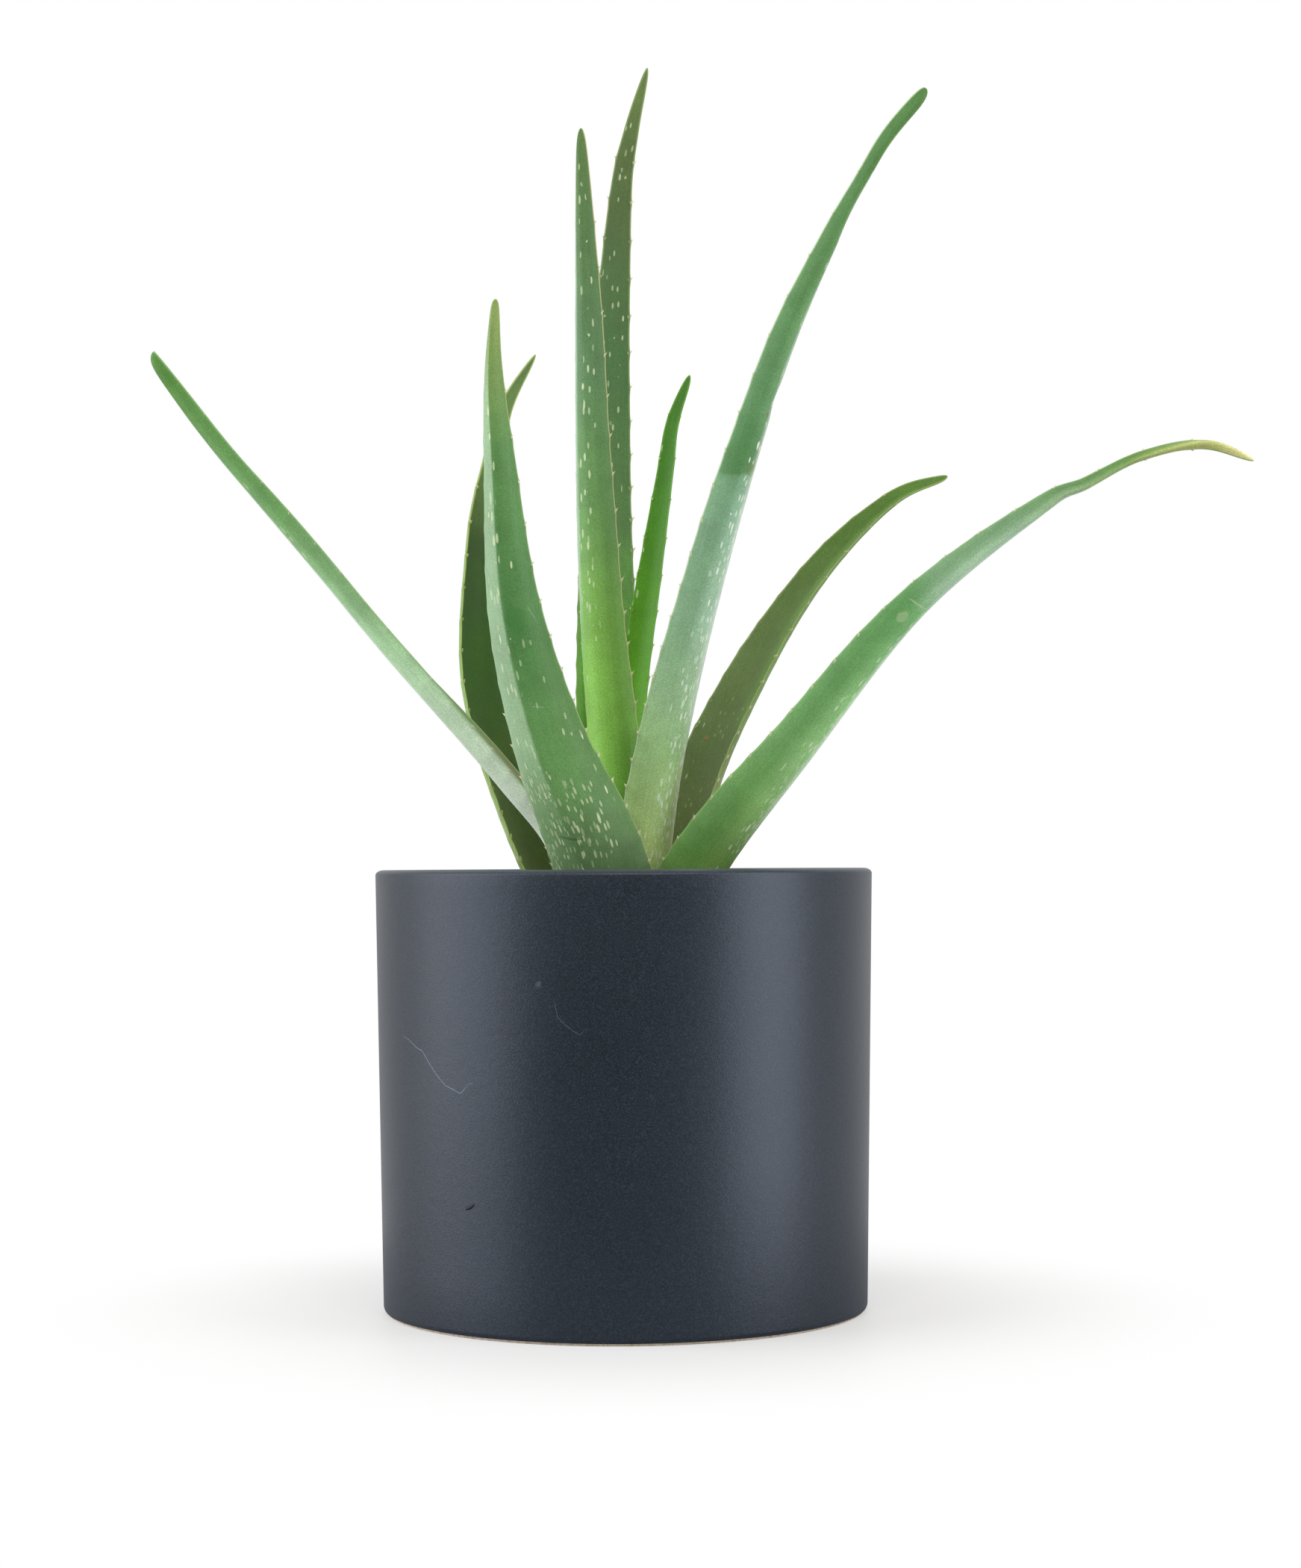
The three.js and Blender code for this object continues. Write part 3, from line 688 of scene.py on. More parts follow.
def blade(leaf, seed):
    """The blade as a grid of rings, closer together towards the tip. Round a ring the angle t
    goes over the upper face and back under the leaf: across is -cos t times the half width, and
    the height out of the upper face is the channel depth times sin t squared above, and depth plus
    thickness times sin t to the power 1.2 beneath, with a keel along the midrib if it has one. The
    margins swell a little at each tooth and waver by a fraction of a millimetre, and a dent draws
    one margin in by its depth, fading over its spread."""
    share = LAST_RING * (1 - (1 - np.linspace(0, LAST_RING, BLADE_ROWS)) ** ROW_CROWDING)
    turn = np.linspace(0, 2 * np.pi, BLADE_COLUMNS, endpoint=False)
    centre, along, across, out, length = leaf_frame(leaf, share)
    half, thick, dish = leaf_size(leaf, share, length)
    slim = 1 - TIP_SLIM * np.clip((share - SLIM_FROM) / (1 - SLIM_FROM), 0, 1)
    half, thick = half * slim, thick * slim
    fullness = np.clip(half / FULL_RIPPLE_HALF, 0, 1)
    gap = (share[:, None] - tooth_shares(length)) * length / SWELLING_REACH
    swell = SWELLING * (1 - TOOTH_SHRINK * share) * np.exp(-(gap ** 2)).sum(axis=1) * fullness
    x = -np.cos(turn)
    upper = dish[:, None] * np.sin(turn) ** 2
    keel = leaf.get("keel", 0) * np.exp(-((x / KEEL_WIDTH) ** 2))
    full = 1 + keel * np.sin(turn) ** 2 * (1 - share[:, None])
    under = (dish + thick)[:, None] * np.abs(np.sin(turn)) ** (2 * BELLY_POWER) * full
    height = np.where(turn < np.pi, upper, under)
    phase = np.random.default_rng(seed).uniform(0, 2 * np.pi, (2, 1))
    waves = np.sin(share * length / RIPPLE_LENGTHS + phase).sum(axis=0)
    ripple = waves[:, None] * x ** 3 * RIPPLE * fullness[:, None]
    reach = half[:, None] * x + swell[:, None] * x ** 5
    for at, toward, depth, spread in leaf.get("dents", ()):
        near = np.exp(-(((share - at) * length / spread) ** 2))[:, None]
        reach -= toward * depth * near * np.clip(toward * x, 0, 1) ** 1.5
    grid = (
        centre[:, None]
        + across[:, None] * reach[..., None]
        + out[:, None] * (height + ripple)[..., None]
    )
    return grid, share, length


def teeth(leaf):
    """Hooked teeth for both margins, but for a smooth part of one. Each is a cone of flattened
    rings that starts inside the blade, leans towards the leaf's tip and bends further that way
    with the square of its length."""
    _, _, length = spline(leaf["spine"], np.array([0.0, 1.0]))
    share = np.repeat(tooth_shares(length), 2)
    side = np.tile([-1.0, 1.0], len(share) // 2)
    smooth_side, smooth_from, smooth_to = leaf.get("smooth", (0, 0, 0))
    toothed = (side != smooth_side) | (share <= smooth_from) | (share >= smooth_to)
    share, side = share[toothed], side[toothed]
    centre, along, across, out, _ = leaf_frame(leaf, share)
    half, thick, dish = leaf_size(leaf, share, length)
    x = 1 - np.minimum(TOOTH_ROOT / half, TOOTH_ROOT_LIMIT)
    upper = dish * (1 - x * x)
    level = upper + TOOTH_LEVEL * ((dish + thick) * (1 - x * x) ** BELLY_POWER - upper)
    outward = across * side[:, None]
    axis = outward + TOOTH_LEAN * along - TOOTH_TURN * out
    axis /= np.linalg.norm(axis, axis=1)[:, None]
    wide = np.cross(axis, out)
    wide /= np.linalg.norm(wide, axis=1)[:, None]
    thin = np.cross(wide, axis)
    shrink = 1 - TOOTH_SHRINK * share
    tall = (leaf["tooth"] * shrink)[:, None, None]
    seat = centre + outward * (x * half)[:, None] + out * level[:, None]
    rise = np.linspace(0, TOOTH_LAST_RING, TOOTH_RINGS)
    turn = np.linspace(0, 2 * np.pi, TOOTH_SIDES, endpoint=False)
    spread = TOOTH_RADIUS * (1 - rise) ** TOOTH_POINTING

    def line(t):
        bend = TOOTH_HOOK * tall * (t ** 2)[:, None]
        return seat[:, None] + axis[:, None] * tall * t[:, None] + along[:, None] * bend

    body = line(rise)[:, :, None] + (shrink[:, None] * spread)[:, :, None, None] * (
        wide[:, None, None] * np.cos(turn)[:, None]
        + thin[:, None, None] * TOOTH_FLATNESS * np.sin(turn)[:, None]
    )
    points = np.concatenate([body.reshape(len(share), -1, 3), line(np.array([0.0, 1.0]))], axis=1)
    return points, share, side, np.append(np.repeat(rise, TOOTH_SIDES), [0.0, 1.0]), half


def leaf_skin(name, leaf):
    """Waxy aloe skin. Two ramps along the leaf colour its underside and upper face. Over them lie
    tints, most of them painted light and painted shade that make one side of the leaf lighter or
    darker, soft patches, fine streaks along the leaf, a pore speckle, pale dashes, marks, a thin
    pale margin and cream teeth that brown at the point. A tint and a patch of dashes fill a zone:
    four places along the leaf (run) and across it (across), where it fades in and out again."""
    skin, add, place = new_finish(name)
    skin_map = add("UVMap", [], uv_map="leaf_map")
    share, side, beneath, margin, tooth = (
        add("Attribute", [], out="Fac", attribute_name=fact)
        for fact in ("share", "side", "under", "margin", "tooth")
    )
    across = add("MapRange", [side, -1.0])

    def zone_cover(zone):
        """How much a zone covers: a ramp along the leaf times a ramp across it, and on the
        underside only unless the zone lies on both faces. A slant leans its ends by a share of
        the length."""
        leant = add("Math", [side, -zone.get("slant", 0.0), share], operation="MULTIPLY_ADD")
        windows = []
        for value, places in ((leant, zone["run"]), (across, [0.5 + 0.5 * x for x in zone["across"]])):
            tones = ("#000000", "#ffffff", "#ffffff", "#000000")
            windows.append(add("ValToRGB", [value], stops=list(zip(places, tones))))
            windows[-1].node.color_ramp.interpolation = "EASE"
        cover = add("Math", windows, operation="MULTIPLY")
        return cover if zone.get("both") else add("Math", [cover, beneath], operation="MULTIPLY")

    wander = add("TexNoise", {"Vector": place, "Scale": 45.0, "Detail": 3.0})
    drift = add("MapRange", [wander, 0.3, 0.7, -0.02, 0.02])
    drifted = add("Math", [share, drift], operation="ADD")
    upper_tone = add("ValToRGB", [drifted], stops=leaf["upper"])
    under_tone = add("ValToRGB", [drifted], stops=leaf["under"])
    tone = add("Mix", {0: beneath, 6: upper_tone, 7: under_tone}, **COLOURS)
    # Tints: mostly painted light and painted shade on one side of the leaf, a few its own colour
    for tint in leaf.get("tints", ()):
        cover = add("Math", [zone_cover(tint), tint["share"]], operation="MULTIPLY")
        tone = add("Mix", {0: cover, 6: tone, 7: linear(tint["tone"])}, **COLOURS)

    # Soft patches about 12 mm across, streaks 0.7 mm wide and 25 mm long, and pores 0.4 mm apart,
    # drawn coarser than the real ones so that they show
    patch = add("TexNoise", {"Vector": place, "Scale": 80.0, "Detail": 4.0, "Roughness": 0.6})
    streaks = add("Mapping", {"Vector": skin_map, "Scale": (1400.0, 40.0, 1.0)})
    streak = add("TexNoise", {
        "Vector": streaks, "Scale": 1.0, "Detail": 3.0, "Roughness": 0.6,
    }, noise_dimensions="2D")
    pore = add("TexNoise", {"Vector": place, "Scale": 2800.0, "Detail": 1.0})
    for pattern, low, high, dark, light in (
        (patch, 0.3, 0.7, 0.88, 1.12), (streak, 0.25, 0.75, 0.95, 1.05), (pore, 0.35, 0.65, 0.86, 1.14),
    ):
        gain = add("MapRange", [pattern, low, high, dark, light])
        tone = add("VectorMath", {0: tone, 3: gain}, operation="SCALE")

    # Dashes: cells of a stretched net, each with an oval in it if its random number allows. They
    # crowd together in flocks about 20 mm across and 9 mm long.
    flocks = add("Mapping", {"Vector": skin_map, "Scale": (50.0, 110.0, 1.0)})
    flock = add("TexNoise", {"Vector": flocks, "Scale": 1.0, "Detail": 1.0}, noise_dimensions="2D")
    crowd = add("MapRange", [flock, 0.35, 0.65, 0.25, 1.5])
    dash_tone = linear(leaf.get("dash_tone", DASH_TONE))
    for zone in leaf["dashes"]:
        wide, long = zone["pitch"]
        cell_place = add("Mapping", {
            "Vector": skin_map,
            "Scale": (1 / (wide * MM), 1 / (long * MM), 1.0),
            "Location": (zone["seed"], 0.0, 0.0),
        })
        cell = add(
            "TexVoronoi", {"Vector": cell_place, "Scale": 1.0, "Randomness": 0.9},
            out="Distance", voronoi_dimensions="2D",
        )
        chance, paleness, smallness = add("SeparateColor", [cell.node.outputs["Color"]]).node.outputs
        density = add("Math", [crowd, zone["density"]], operation="MULTIPLY")
        wanted = add("Math", [zone_cover(zone), density], operation="MULTIPLY")
        present = add("Math", [chance, wanted], operation="LESS_THAN")
        small = add("MapRange", [smallness, 0.0, 1.0, 1.0, 1.7])
        reach = add("Math", [cell, small], operation="MULTIPLY")
        oval = add("MapRange", [reach, zone["size"], zone["size"] * 0.65], **SMOOTH)
        shown = add("Math", [oval, present], operation="MULTIPLY")
        faint = add("MapRange", [paleness, 0.0, 1.0, 0.35 * zone["share"], zone["share"]])
        shown = add("Math", [shown, faint], operation="MULTIPLY")
        tone = add("Mix", {0: shown, 6: tone, 7: dash_tone}, **COLOURS)

    # Marks: a stain, scar or scratch at a place on the skin, in millimetres across and along
    for mark in leaf.get("marks", ()):
        spot = add("Mapping", {
            "Vector": skin_map,
            "Location": (mark["at"][0] * MM, mark["at"][1] * MM, 0.0),
            "Rotation": (0.0, 0.0, math.radians(mark.get("turn", 0))),
            "Scale": (mark["size"][0] * MM, mark["size"][1] * MM, 1.0),
        }, vector_type="TEXTURE")
        ragged = add("TexNoise", {"Vector": place, "Scale": mark["grain"], "Detail": 3.0})
        distance = add("VectorMath", [spot], out="Value", operation="LENGTH")
        rough = add("MapRange", [ragged, 0.0, 1.0, -0.6, 0.6])
        reach = add("Math", [distance, rough], operation="ADD")
        cover = add("MapRange", [reach, 1.0, 0.7, 0.0, mark["share"]], **SMOOTH)
        tone = add("Mix", {0: cover, 6: tone, 7: linear(mark["tone"])}, **COLOURS)

    line = add("MapRange", [margin, 0.65, 0.2, 0.0, 0.75], **SMOOTH)
    tone = add("Mix", {0: line, 6: tone, 7: linear(leaf["rim"])}, **COLOURS)
    hook_tone = add("ValToRGB", [tooth], stops=[(0.5, "#c0cc90"), (0.85, "#d8dcac"), (1.0, "#b89870")])
    on_hook = add("MapRange", [tooth, 0.4, 0.75, 0.0, 0.85], **SMOOTH)
    tone = add("Mix", {0: on_hook, 6: tone, 7: hook_tone}, **COLOURS)
    ribbed = add("Bump", {"Height": streak, "Strength": 0.15, "Distance": 0.0002})
    pored = add("Bump", {"Height": pore, "Strength": 0.12, "Distance": 0.0001, "Normal": ribbed})
    wax = add("MapRange", [patch, 0.3, 0.7, 0.44, 0.56])
    add("OutputMaterial", [add("BsdfPrincipled", {
        "Base Color": tone, "Roughness": wax, "Normal": pored, "IOR": 1.42, "Specular IOR Level": 0.35,
        "Subsurface Weight": 0.12, "Subsurface Radius": (0.6, 1.0, 0.3), "Subsurface Scale": 0.0025,
        "Sheen Weight": leaf.get("bloom", BLOOM),
        "Sheen Roughness": 0.4, "Sheen Tint": (0.9, 1.0, 0.93, 1.0),
    })])
    return skin


def grow_leaf(name, slot, seed, **leaf):
    """Makes one leaf: the blade and its teeth in one mesh, with a map in metres of the place on
    the skin (across from the midrib and along from the base), and for each vertex its share of
    the length, side from -1 to 1, underside from 0 to 1, millimetres from the margin and height
    up a tooth."""
    grid, share, length = blade(leaf, seed)
    rows, columns = grid.shape[:2]
    end = spline(leaf["spine"], np.array([LAST_RING]))[0][0]
    vertices, quads, fans = closed_skin(grid, grid[0].mean(axis=0), end)
    chords = np.linalg.norm(np.roll(grid, -1, axis=1) - grid, axis=2)
    run = np.concatenate([np.zeros((rows, 1)), np.cumsum(chords, axis=1)], axis=1)
    upper_girth = run[:, columns // 2, None]
    under_girth = run[:, -1:] - upper_girth
    above = np.arange(columns) < columns // 2
    start, stop = (
        np.where(above, edge - upper_girth / 2, upper_girth + under_girth / 2 - edge)
        for edge in (run[:, :-1], run[:, 1:])
    )
    u = np.stack([start[:-1], stop[:-1], stop[1:], start[1:]], -1)
    v_row = np.repeat((share * length)[:, None], columns, axis=1)
    v = np.stack([v_row[:-1], v_row[:-1], v_row[1:], v_row[1:]], -1)
    fan_v = np.repeat([0.0, length], columns * 3)
    maps = [np.stack([u, v], -1).reshape(-1, 2), np.stack([0 * fan_v, fan_v], -1)]

    turn = np.linspace(0, 2 * np.pi, columns, endpoint=False)
    margin = np.minimum(run[:, :-1], run[:, -1:] - run[:, :-1])
    margin = np.minimum(margin, np.abs(run[:, :-1] - upper_girth))
    beneath = np.clip(0.5 - EDGE_TURNING * np.sin(turn), 0, 1)
    points, hook_share, hook_side, climb, half = teeth(leaf)
    count, size = points.shape[:2]
    hook_mark = HOOK_ROOT_MARK + (1 - HOOK_ROOT_MARK) * climb
    facts = {
        "share": (np.repeat(share, columns), [0.0, 1.0], np.repeat(hook_share, size)),
        "side": (np.tile(-np.cos(turn), rows), [0.0, 0.0], np.repeat(hook_side, size)),
        "under": (np.tile(beneath, rows), [0.5, 0.5], np.full(count * size, 0.5)),
        "margin": (margin.ravel(), [0.0, 0.0], np.zeros(count * size)),
        "tooth": (np.zeros(rows * columns), [0.0, 0.0], np.tile(hook_mark, count)),
    }
    hook_faces = repeated_faces(count, TOOTH_RINGS, TOOTH_SIDES, len(vertices))
    hook_place = np.stack([half * hook_side, hook_share * length], -1)
    maps += [np.repeat(hook_place, part.size // count, axis=0) for part in hook_faces]
    surface = np.vstack([vertices, points.reshape(-1, 3)]), quads, fans, *hook_faces
    skin = leaf_skin("aloe_skin_" + name, leaf)
    piece = make_piece("blade_" + name, surface, [skin], ["leaf_" + name])
    layer = piece.data.uv_layers.new(name="leaf_map")
    layer.data.foreach_set("uv", (np.concatenate(maps) * MM).ravel().astype(np.float32))
    for fact, parts in facts.items():
        column = piece.data.attributes.new(fact, "FLOAT", "POINT")
        column.data.foreach_set("value", np.concatenate(parts).astype(np.float32))


# Far left leaf: an old outer leaf that leans out low to the left, seen edge-on, its pale blue-green
# belly below and its channel just showing as a brown line near the base
grow_leaf(
    "far_left", "leaf_pale", 21,
    spine=[
        (-9, -2, 102), (-15, -4, 139), (-33, -7, 164), (-67.5, -9, 203),
        (-86.5, -10, 225.5), (-105.5, -12, 247.5), (-121, -14, 265.5), (-141.5, -16, 291.5),
    ],
    width=17, taper=0.8, tip=4, thick=6, thin=0.3, dish=0.1, facing=(174, 190), tooth=2,
    under=[(0.0, "#eef4e4"), (0.25, "#dcecd4"), (0.5, "#b4daaa"), (0.75, "#80b070"), (1.0, "#548434")],
    upper=[(0.0, "#8c8458"), (0.3, "#7c7c50"), (0.45, "#6c9458"), (1.0, "#5c8c40")],
    # Painted shade darkens the outer strip of one side towards the tip, and a painted highlight pales a
    # band along the middle of the belly
    tints=[
        dict(tone="#4c8038", share=0.45, run=(0.4, 0.65, 1, 1), across=(0.5, 0.9, 1, 1)),
        dict(tone="#dcecdc", share=0.45, run=(0, 0.1, 0.7, 0.9), across=(-0.6, -0.3, 0.1, 0.4)),
    ],
    dashes=[
        dict(pitch=(1.7, 6), size=0.31, density=0.6, share=0.7, seed=3,
             run=(0.3, 0.4, 0.7, 0.85), across=(-0.1, 0.1, 0.5, 0.7)),
    ],
    rim="#8fb57a", bloom=0.1,
)


# Back left leaf: rises behind the front left one and shows its dark olive channelled face, with
# the bright belly just turning over its left margin
grow_leaf(
    "back_left", "leaf_dark", 22,
    spine=[
        (-3, 6, 103), (-28.5, 21, 151), (-44, 37, 194),
        (-45.5, 52, 240), (-42.5, 60, 266), (-38, 66, 287), (-28.5, 72, 305.5),
    ],
    width=28, taper=0.85, tip=1.6, thick=6, thin=0.6, dish=0.2, facing=(128, 128), tooth=2,
    under=[(0.0, "#9cb470"), (0.5, "#84ac5c"), (1.0, "#809c58")],
    upper=[
        (0.0, "#727e46"), (0.25, "#506430"), (0.5, "#38601a"), (0.7, "#345018"), (0.83, "#6c8c44"),
        (1.0, "#4c6830"),
    ],
    dashes=[
        dict(pitch=(2.4, 9), size=0.27, density=0.6, share=0.6, seed=5, both=True,
             run=(0.2, 0.3, 0.8, 0.9), across=(-1, -1, -0.8, -0.7)),
    ],
    rim="#a8b868",
)


# Front left leaf: the broadest one, an outer leaf that comes forward over the rim with its
# underside to the front, bands of pale dashes low down, a lighter strip of painted highlight along
# its left side and painted shade on its right side low down
grow_leaf(
    "front_left", "leaf_green", 23,
    spine=[
        (0, -6, 102), (-7, -30, 137), (-21, -44, 171), (-31, -54, 209),
        (-35, -60, 252), (-36.5, -61, 277), (-36, -62, 298),
    ],
    width=38.5, taper=1.1, tip=2.6, thick=9, thin=0.6, dish=0.15, facing=(246, 250), tooth=2.2,
    round=1.5, keel=0.12, smooth=(-1, 0.45, 1),
    under=[
        (0.0, "#68805a"), (0.2, "#68885c"), (0.35, "#669454"), (0.55, "#4c7c42"), (0.8, "#568446"),
        (1.0, "#80944c"),
    ],
    upper=[(0.0, "#7c9858"), (0.4, "#5c8848"), (1.0, "#6c9454")],
    # Painted light: a lighter strip down the left side and a paler patch low on the left. Painted shade: a
    # darker right side in the lower half
    tints=[
        dict(tone="#bcd8b4", share=0.45, run=(0.26, 0.42, 0.85, 1), across=(-1, -1, -0.14, -0.02)),
        dict(tone="#8cb07c", share=0.3, run=(0, 0.05, 0.3, 0.42), across=(-1, -1, -0.5, 0.1)),
        dict(tone="#44662c", share=0.5, run=(0.1, 0.2, 0.45, 0.65), across=(0.5, 0.97, 1, 1)),
    ],
    dashes=[
        dict(pitch=(1.4, 4.8), size=0.34, density=1.6, share=0.8, seed=1,
             run=(0.1, 0.14, 0.3, 0.4), across=(-1, -1, 0.3, 0.9)),
        dict(pitch=(1.8, 6), size=0.3, density=0.25, share=0.8, seed=9,
             run=(0.2, 0.3, 0.48, 0.7), across=(-0.8, -0.4, 0.9, 1)),
        dict(pitch=(1.9, 7), size=0.33, density=0.7, share=0.8, seed=15,
             run=(0.42, 0.5, 0.93, 1), across=(-0.7, -0.5, -0.05, 0.1)),
    ],
    marks=[
        dict(at=(2.6, 121.5), size=(3.2, 4.6), grain=240, share=0.5, tone="#3c7434"),
        dict(at=(8, 122), size=(0.25, 2.6), turn=25, grain=500, share=0.2, tone="#a8c8a0"),
        dict(at=(3.7, 96), size=(0.25, 2.2), turn=70, grain=500, share=0.2, tone="#a8c8a0"),
        dict(at=(-2, 57.4), size=(0.4, 5), turn=75, grain=500, share=0.6, tone="#405c38"),
    ],
    rim="#a9b184",
)


# Centre front leaf: tall and upright, yellow-green at the base and bluish above, its underside to
# the front and its right margin edged with a cream line and strong hooks
centre_front_dashes = dict(pitch=(1.6, 5.2), size=0.33, density=0.65, share=0.8)
grow_leaf(
    "centre_front", "leaf_green", 24,
    spine=[
        (-0.5, -4, 104), (-1.5, -12, 160), (-5.5, -20, 208),
        (-8, -27, 256), (-9.5, -32, 305), (-11.5, -36, 354),
    ],
    width=20, taper=0.7, tip=2.4, thick=8, thin=0.6, dish=0.15, facing=(242, 238), tooth=2.6,
    under=[
        (0.0, "#90c05c"), (0.27, "#90c858"), (0.42, "#84b854"), (0.56, "#6c9858"), (0.7, "#5e8458"),
        (1.0, "#54743a"),
    ],
    upper=[(0.0, "#8cb45c"), (0.4, "#5c9040"), (1.0, "#60844c")],
    # Painted light pales a strip down the left side of the upper half, and painted shade darkens the right
    # side
    tints=[
        dict(tone="#c4dcc4", share=0.6, run=(0.35, 0.5, 1, 1), across=(-1, -1, -0.65, -0.3)),
        dict(tone="#3c6420", share=0.35, run=(0.1, 0.25, 1, 1), across=(0.45, 0.85, 1, 1)),
    ],
    dashes=[
        dict(centre_front_dashes, seed=2, run=(0.34, 0.42, 0.62, 0.72), across=(-0.5, -0.3, 0.2, 0.45)),
        dict(centre_front_dashes, seed=7, run=(0.6, 0.68, 0.93, 1), across=(-0.1, 0.15, 0.6, 0.85)),
    ],
    rim="#c8b98a",
)


# Centre back leaf: the tallest, standing behind with its greyish olive upper face to the front
grow_leaf(
    "centre_back", "leaf_dark", 25,
    spine=[
        (1, 5, 104), (-4, 15, 173), (-5, 24, 234), (-3.5, 32, 293),
        (0, 40, 350), (3.5, 42, 372), (9, 44, 394),
    ],
    width=26, taper=0.75, tip=1.6, thick=7, thin=0.6, dish=0.2, facing=(103, 103), tooth=2.4,
    smooth=(1, 0, 0.55),
    under=[(0.0, "#88a870"), (0.5, "#78a060"), (1.0, "#889c60")],
    upper=[
        (0.0, "#74a03e"), (0.3, "#70ac44"), (0.48, "#5a8048"), (0.66, "#426836"), (0.85, "#485e2e"),
        (1.0, "#60783a"),
    ],
    dashes=[
        dict(pitch=(1.9, 6), size=0.26, density=0.4, share=0.55, seed=4, both=True,
             run=(0.45, 0.55, 0.93, 1), across=(-0.8, -0.5, 0.7, 0.9)),
    ],
    rim="#8c9c68",
)


# Young leaf: the newest one in the middle, narrow and a saturated light green, with few dashes
grow_leaf(
    "young", "leaf_bright", 26,
    spine=[
        (2.5, 1, 104), (-0.5, 6, 150), (2.5, 10, 187), (8, 13, 223),
        (13.5, 15, 258), (16, 15.5, 274), (21.5, 16, 289),
    ],
    width=14, taper=0.7, tip=2.2, thick=5, thin=0.6, dish=0.2, facing=(70, 70), tooth=2,
    under=[(0.0, "#62962a"), (0.3, "#589c12"), (0.5, "#44860a"), (1.0, "#3c701c")],
    upper=[(0.0, "#68962a"), (0.3, "#60a412"), (0.5, "#549210"), (0.75, "#448018"), (1.0, "#3c701c")],
    dashes=[
        dict(pitch=(1.6, 5.5), size=0.3, density=0.7, share=0.8, seed=6, both=True,
             run=(0.2, 0.25, 0.85, 0.95), across=(0.7, 0.85, 1, 1)),
    ],
    dash_tone="#dce6bc", rim="#5c9420",
)


# Right tall leaf: pale and bluish with a waxy bloom up to a sharp line where its sheath once
# ended, leaning forward and right, its right side crowded with dashes that run together
grow_leaf(
    "right_tall", "leaf_pale", 27,
    spine=[
        (-0.5, -8, 102), (9.5, -28, 166), (24.5, -44, 224), (42.5, -58, 279),
        (57.5, -68, 312), (68.5, -73, 331), (75.5, -75.5, 342), (86.5, -78, 354.5),
    ],
    width=23, taper=1.2, tip=4.4, thick=7, thin=0.6, dish=0.13, facing=(304, 318), tooth=2.2,
    waist=(0.88, 0.4, 0.09), dents=[(0.648, 1, 2.2, 4.0)],
    under=[
        (0.0, "#e4d8a4"), (0.15, "#bcd488"), (0.27, "#a0c888"), (0.4, "#9cbe9e"), (0.54, "#8eb696"),
        (0.7, "#6e9c66"), (1.0, "#4e7834"),
    ],
    upper=[(0.0, "#88a464"), (0.4, "#6c9858"), (1.0, "#689050")],
    # The first tint, the tone step where the sheath ended, and the last, the brownish base, are the leaf's
    # own colour; painted shade darkens the left side and a painted highlight pales the right side
    tints=[
        dict(tone="#467a3a", share=0.75, slant=0.01,
             run=(0.565, 0.569, 0.59, 0.72), across=(-1, -1, 1, 1)),
        dict(tone="#4a7c44", share=0.45, run=(0.3, 0.4, 1, 1), across=(-1, -1, -0.65, -0.15)),
        dict(tone="#d4e0d0", share=0.6, run=(0.25, 0.35, 0.93, 1), across=(-0.05, 0.5, 1, 1)),
        dict(tone="#b8a478", share=0.4, run=(0, 0, 0.2, 0.3), across=(0, 0.5, 1, 1)),
    ],
    dashes=[
        dict(pitch=(1.3, 4.8), size=0.35, density=1.3, share=0.85, seed=8,
             run=(0.08, 0.14, 0.56, 0.62), across=(-0.4, 0.1, 1, 1)),
        dict(pitch=(1.8, 6), size=0.3, density=0.45, share=0.7, seed=12,
             run=(0.1, 0.16, 0.45, 0.58), across=(-0.7, -0.45, 0.1, 0.3)),
        dict(pitch=(1.8, 6.5), size=0.3, density=0.5, share=0.65, seed=17,
             run=(0.56, 0.6, 0.85, 0.95), across=(-0.1, 0.2, 1, 1)),
    ],
    marks=[
        dict(at=(0.3, 176.5), size=(0.4, 1.2), grain=700, share=0.7, tone="#8c6450"),
        dict(at=(0.6, 160), size=(2.2, 2.4), grain=400, share=0.4, tone="#6c7c38"),
    ],
    dash_tone="#e6efe0", rim="#bcd0a8", bloom=0.12,
)


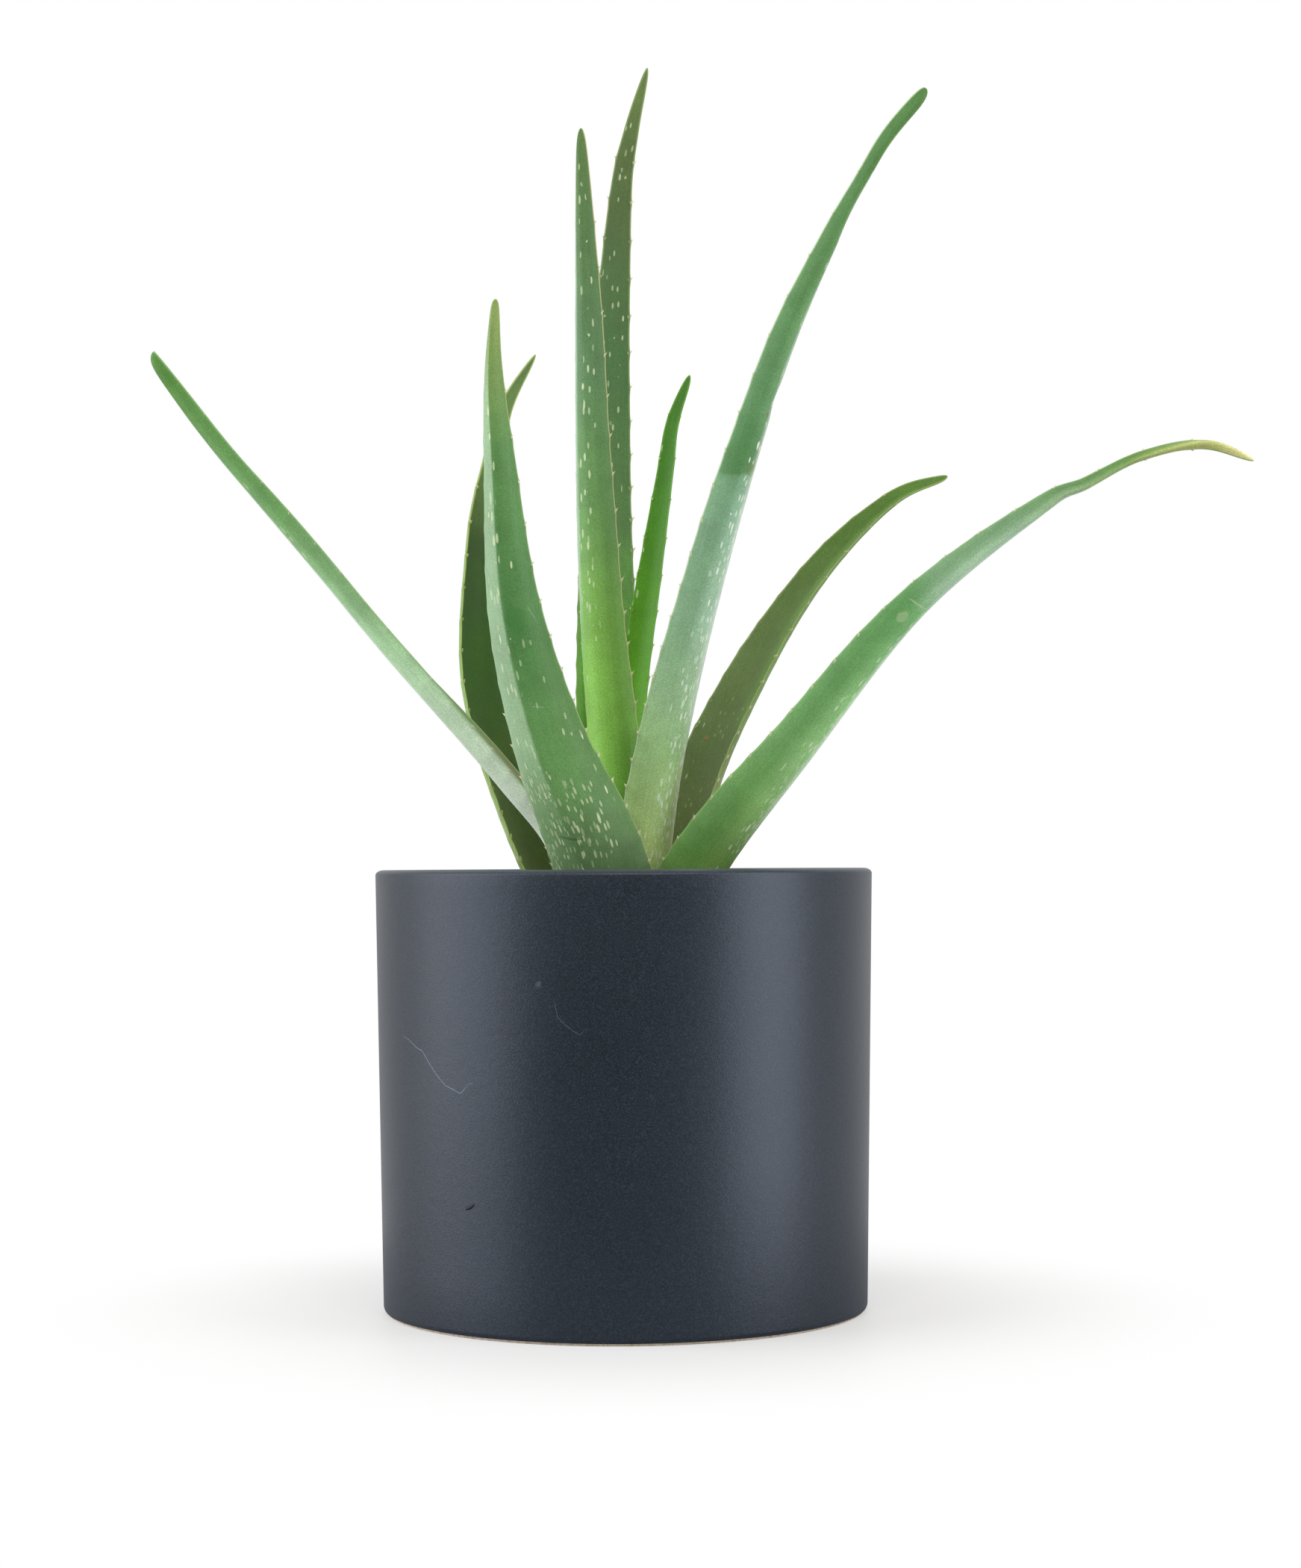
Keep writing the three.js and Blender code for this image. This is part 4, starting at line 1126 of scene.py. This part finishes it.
# Right back leaf: arches back and right with its dark olive channelled face to the front, edged
# by a thin strip of belly, flecked with cream, along its right margin
grow_leaf(
    "right_back", "leaf_dark", 28,
    spine=[
        (7.5, 4, 102), (18.5, 20, 153), (38.5, 34, 195),
        (62.5, 48, 230.5), (88, 60, 255), (108, 66, 263.5),
    ],
    width=26, taper=0.85, tip=2.4, thick=6, thin=0.6, dish=0.2, facing=(46, 50), tooth=1.9, round=1.5,
    under=[(0.0, "#8a8c58"), (0.4, "#647a3c"), (0.8, "#547428")],
    upper=[
        (0.0, "#948f68"), (0.2, "#7a8456"), (0.4, "#667a48"), (0.6, "#607840"), (0.8, "#4c6c2a"),
        (1.0, "#54782c"),
    ],
    # Painted light: a lighter strip down the left side, on both faces
    tints=[
        dict(tone="#70984c", share=0.45, run=(0.35, 0.5, 1, 1), across=(-1, -1, -0.8, -0.3), both=True),
    ],
    dashes=[
        dict(pitch=(1.4, 5), size=0.32, density=0.75, share=0.75, seed=10,
             run=(0.3, 0.4, 0.85, 0.95), across=(0.7, 0.8, 1, 1)),
        dict(pitch=(1.7, 4.5), size=0.25, density=0.35, share=0.4, seed=18, both=True,
             run=(0.05, 0.1, 0.35, 0.5), across=(-1, -1, 1, 1)),
    ],
    marks=[dict(at=(4.4, 81), size=(1.2, 0.8), grain=700, share=0.6, tone="#a8704c")],
    rim="#8a9a5c",
)


# Right low leaf: an old outer leaf that arches out to the right and droops at a yellowed tip,
# with a healed scar across its middle, dashes along its lower side, a painted highlight that pales
# that lower side and painted shade that darkens its upper side
grow_leaf(
    "right_low", "leaf_green", 29,
    spine=[
        (4, -5, 102), (20, -23, 136), (48.5, -40, 171), (82, -55, 210),
        (117, -67, 236.5), (131, -71, 243), (146, -74, 250), (163, -77, 253), (178, -80, 248),
    ],
    width=28.5, taper=1.5, tip=3.2, thick=10, thin=1, dish=0.12, facing=(312, 320), tooth=2.1,
    round=6, waist=(0.84, 0.4, 0.12),
    under=[
        (0.0, "#748c54"), (0.2, "#80ac58"), (0.35, "#96c880"), (0.57, "#78b070"), (0.62, "#acccaa"),
        (0.74, "#a4c4a0"), (0.85, "#84a05c"), (0.95, "#ccd080"), (1.0, "#f6eab0"),
    ],
    upper=[(0.0, "#6c9450"), (0.5, "#609050"), (0.85, "#7c9c58"), (1.0, "#c8c084")],
    # Painted shade darkens the upper side and a painted highlight pales the lower side
    tints=[
        dict(tone="#3c7430", share=0.65, run=(0.12, 0.2, 0.9, 1), across=(-1, -1, -0.85, -0.1)),
        dict(tone="#d4e6d0", share=0.6, run=(0.2, 0.3, 0.8, 0.9), across=(0, 0.5, 1, 1)),
    ],
    dashes=[
        dict(pitch=(1.3, 4.8), size=0.35, density=1.5, share=0.8, seed=13,
             run=(0.18, 0.24, 0.52, 0.6), across=(-0.25, 0.15, 1, 1)),
        dict(pitch=(2, 6.5), size=0.3, density=0.45, share=0.7, seed=14,
             run=(0.14, 0.2, 0.4, 0.5), across=(-0.5, -0.3, 0.3, 0.5)),
    ],
    marks=[
        dict(at=(-3.4, 141.6), size=(1.6, 2.2), grain=500, share=0.35, tone="#b8c8a0"),
        dict(at=(-2, 147.2), size=(4.2, 0.35), turn=12, grain=500, share=0.35, tone="#d0d8b0"),
        dict(at=(1.6, 145), size=(2.2, 0.35), turn=-40, grain=500, share=0.35, tone="#d0d8b0"),
    ],
    dash_tone="#dce8c8", rim="#86b06c", bloom=0.06,
)
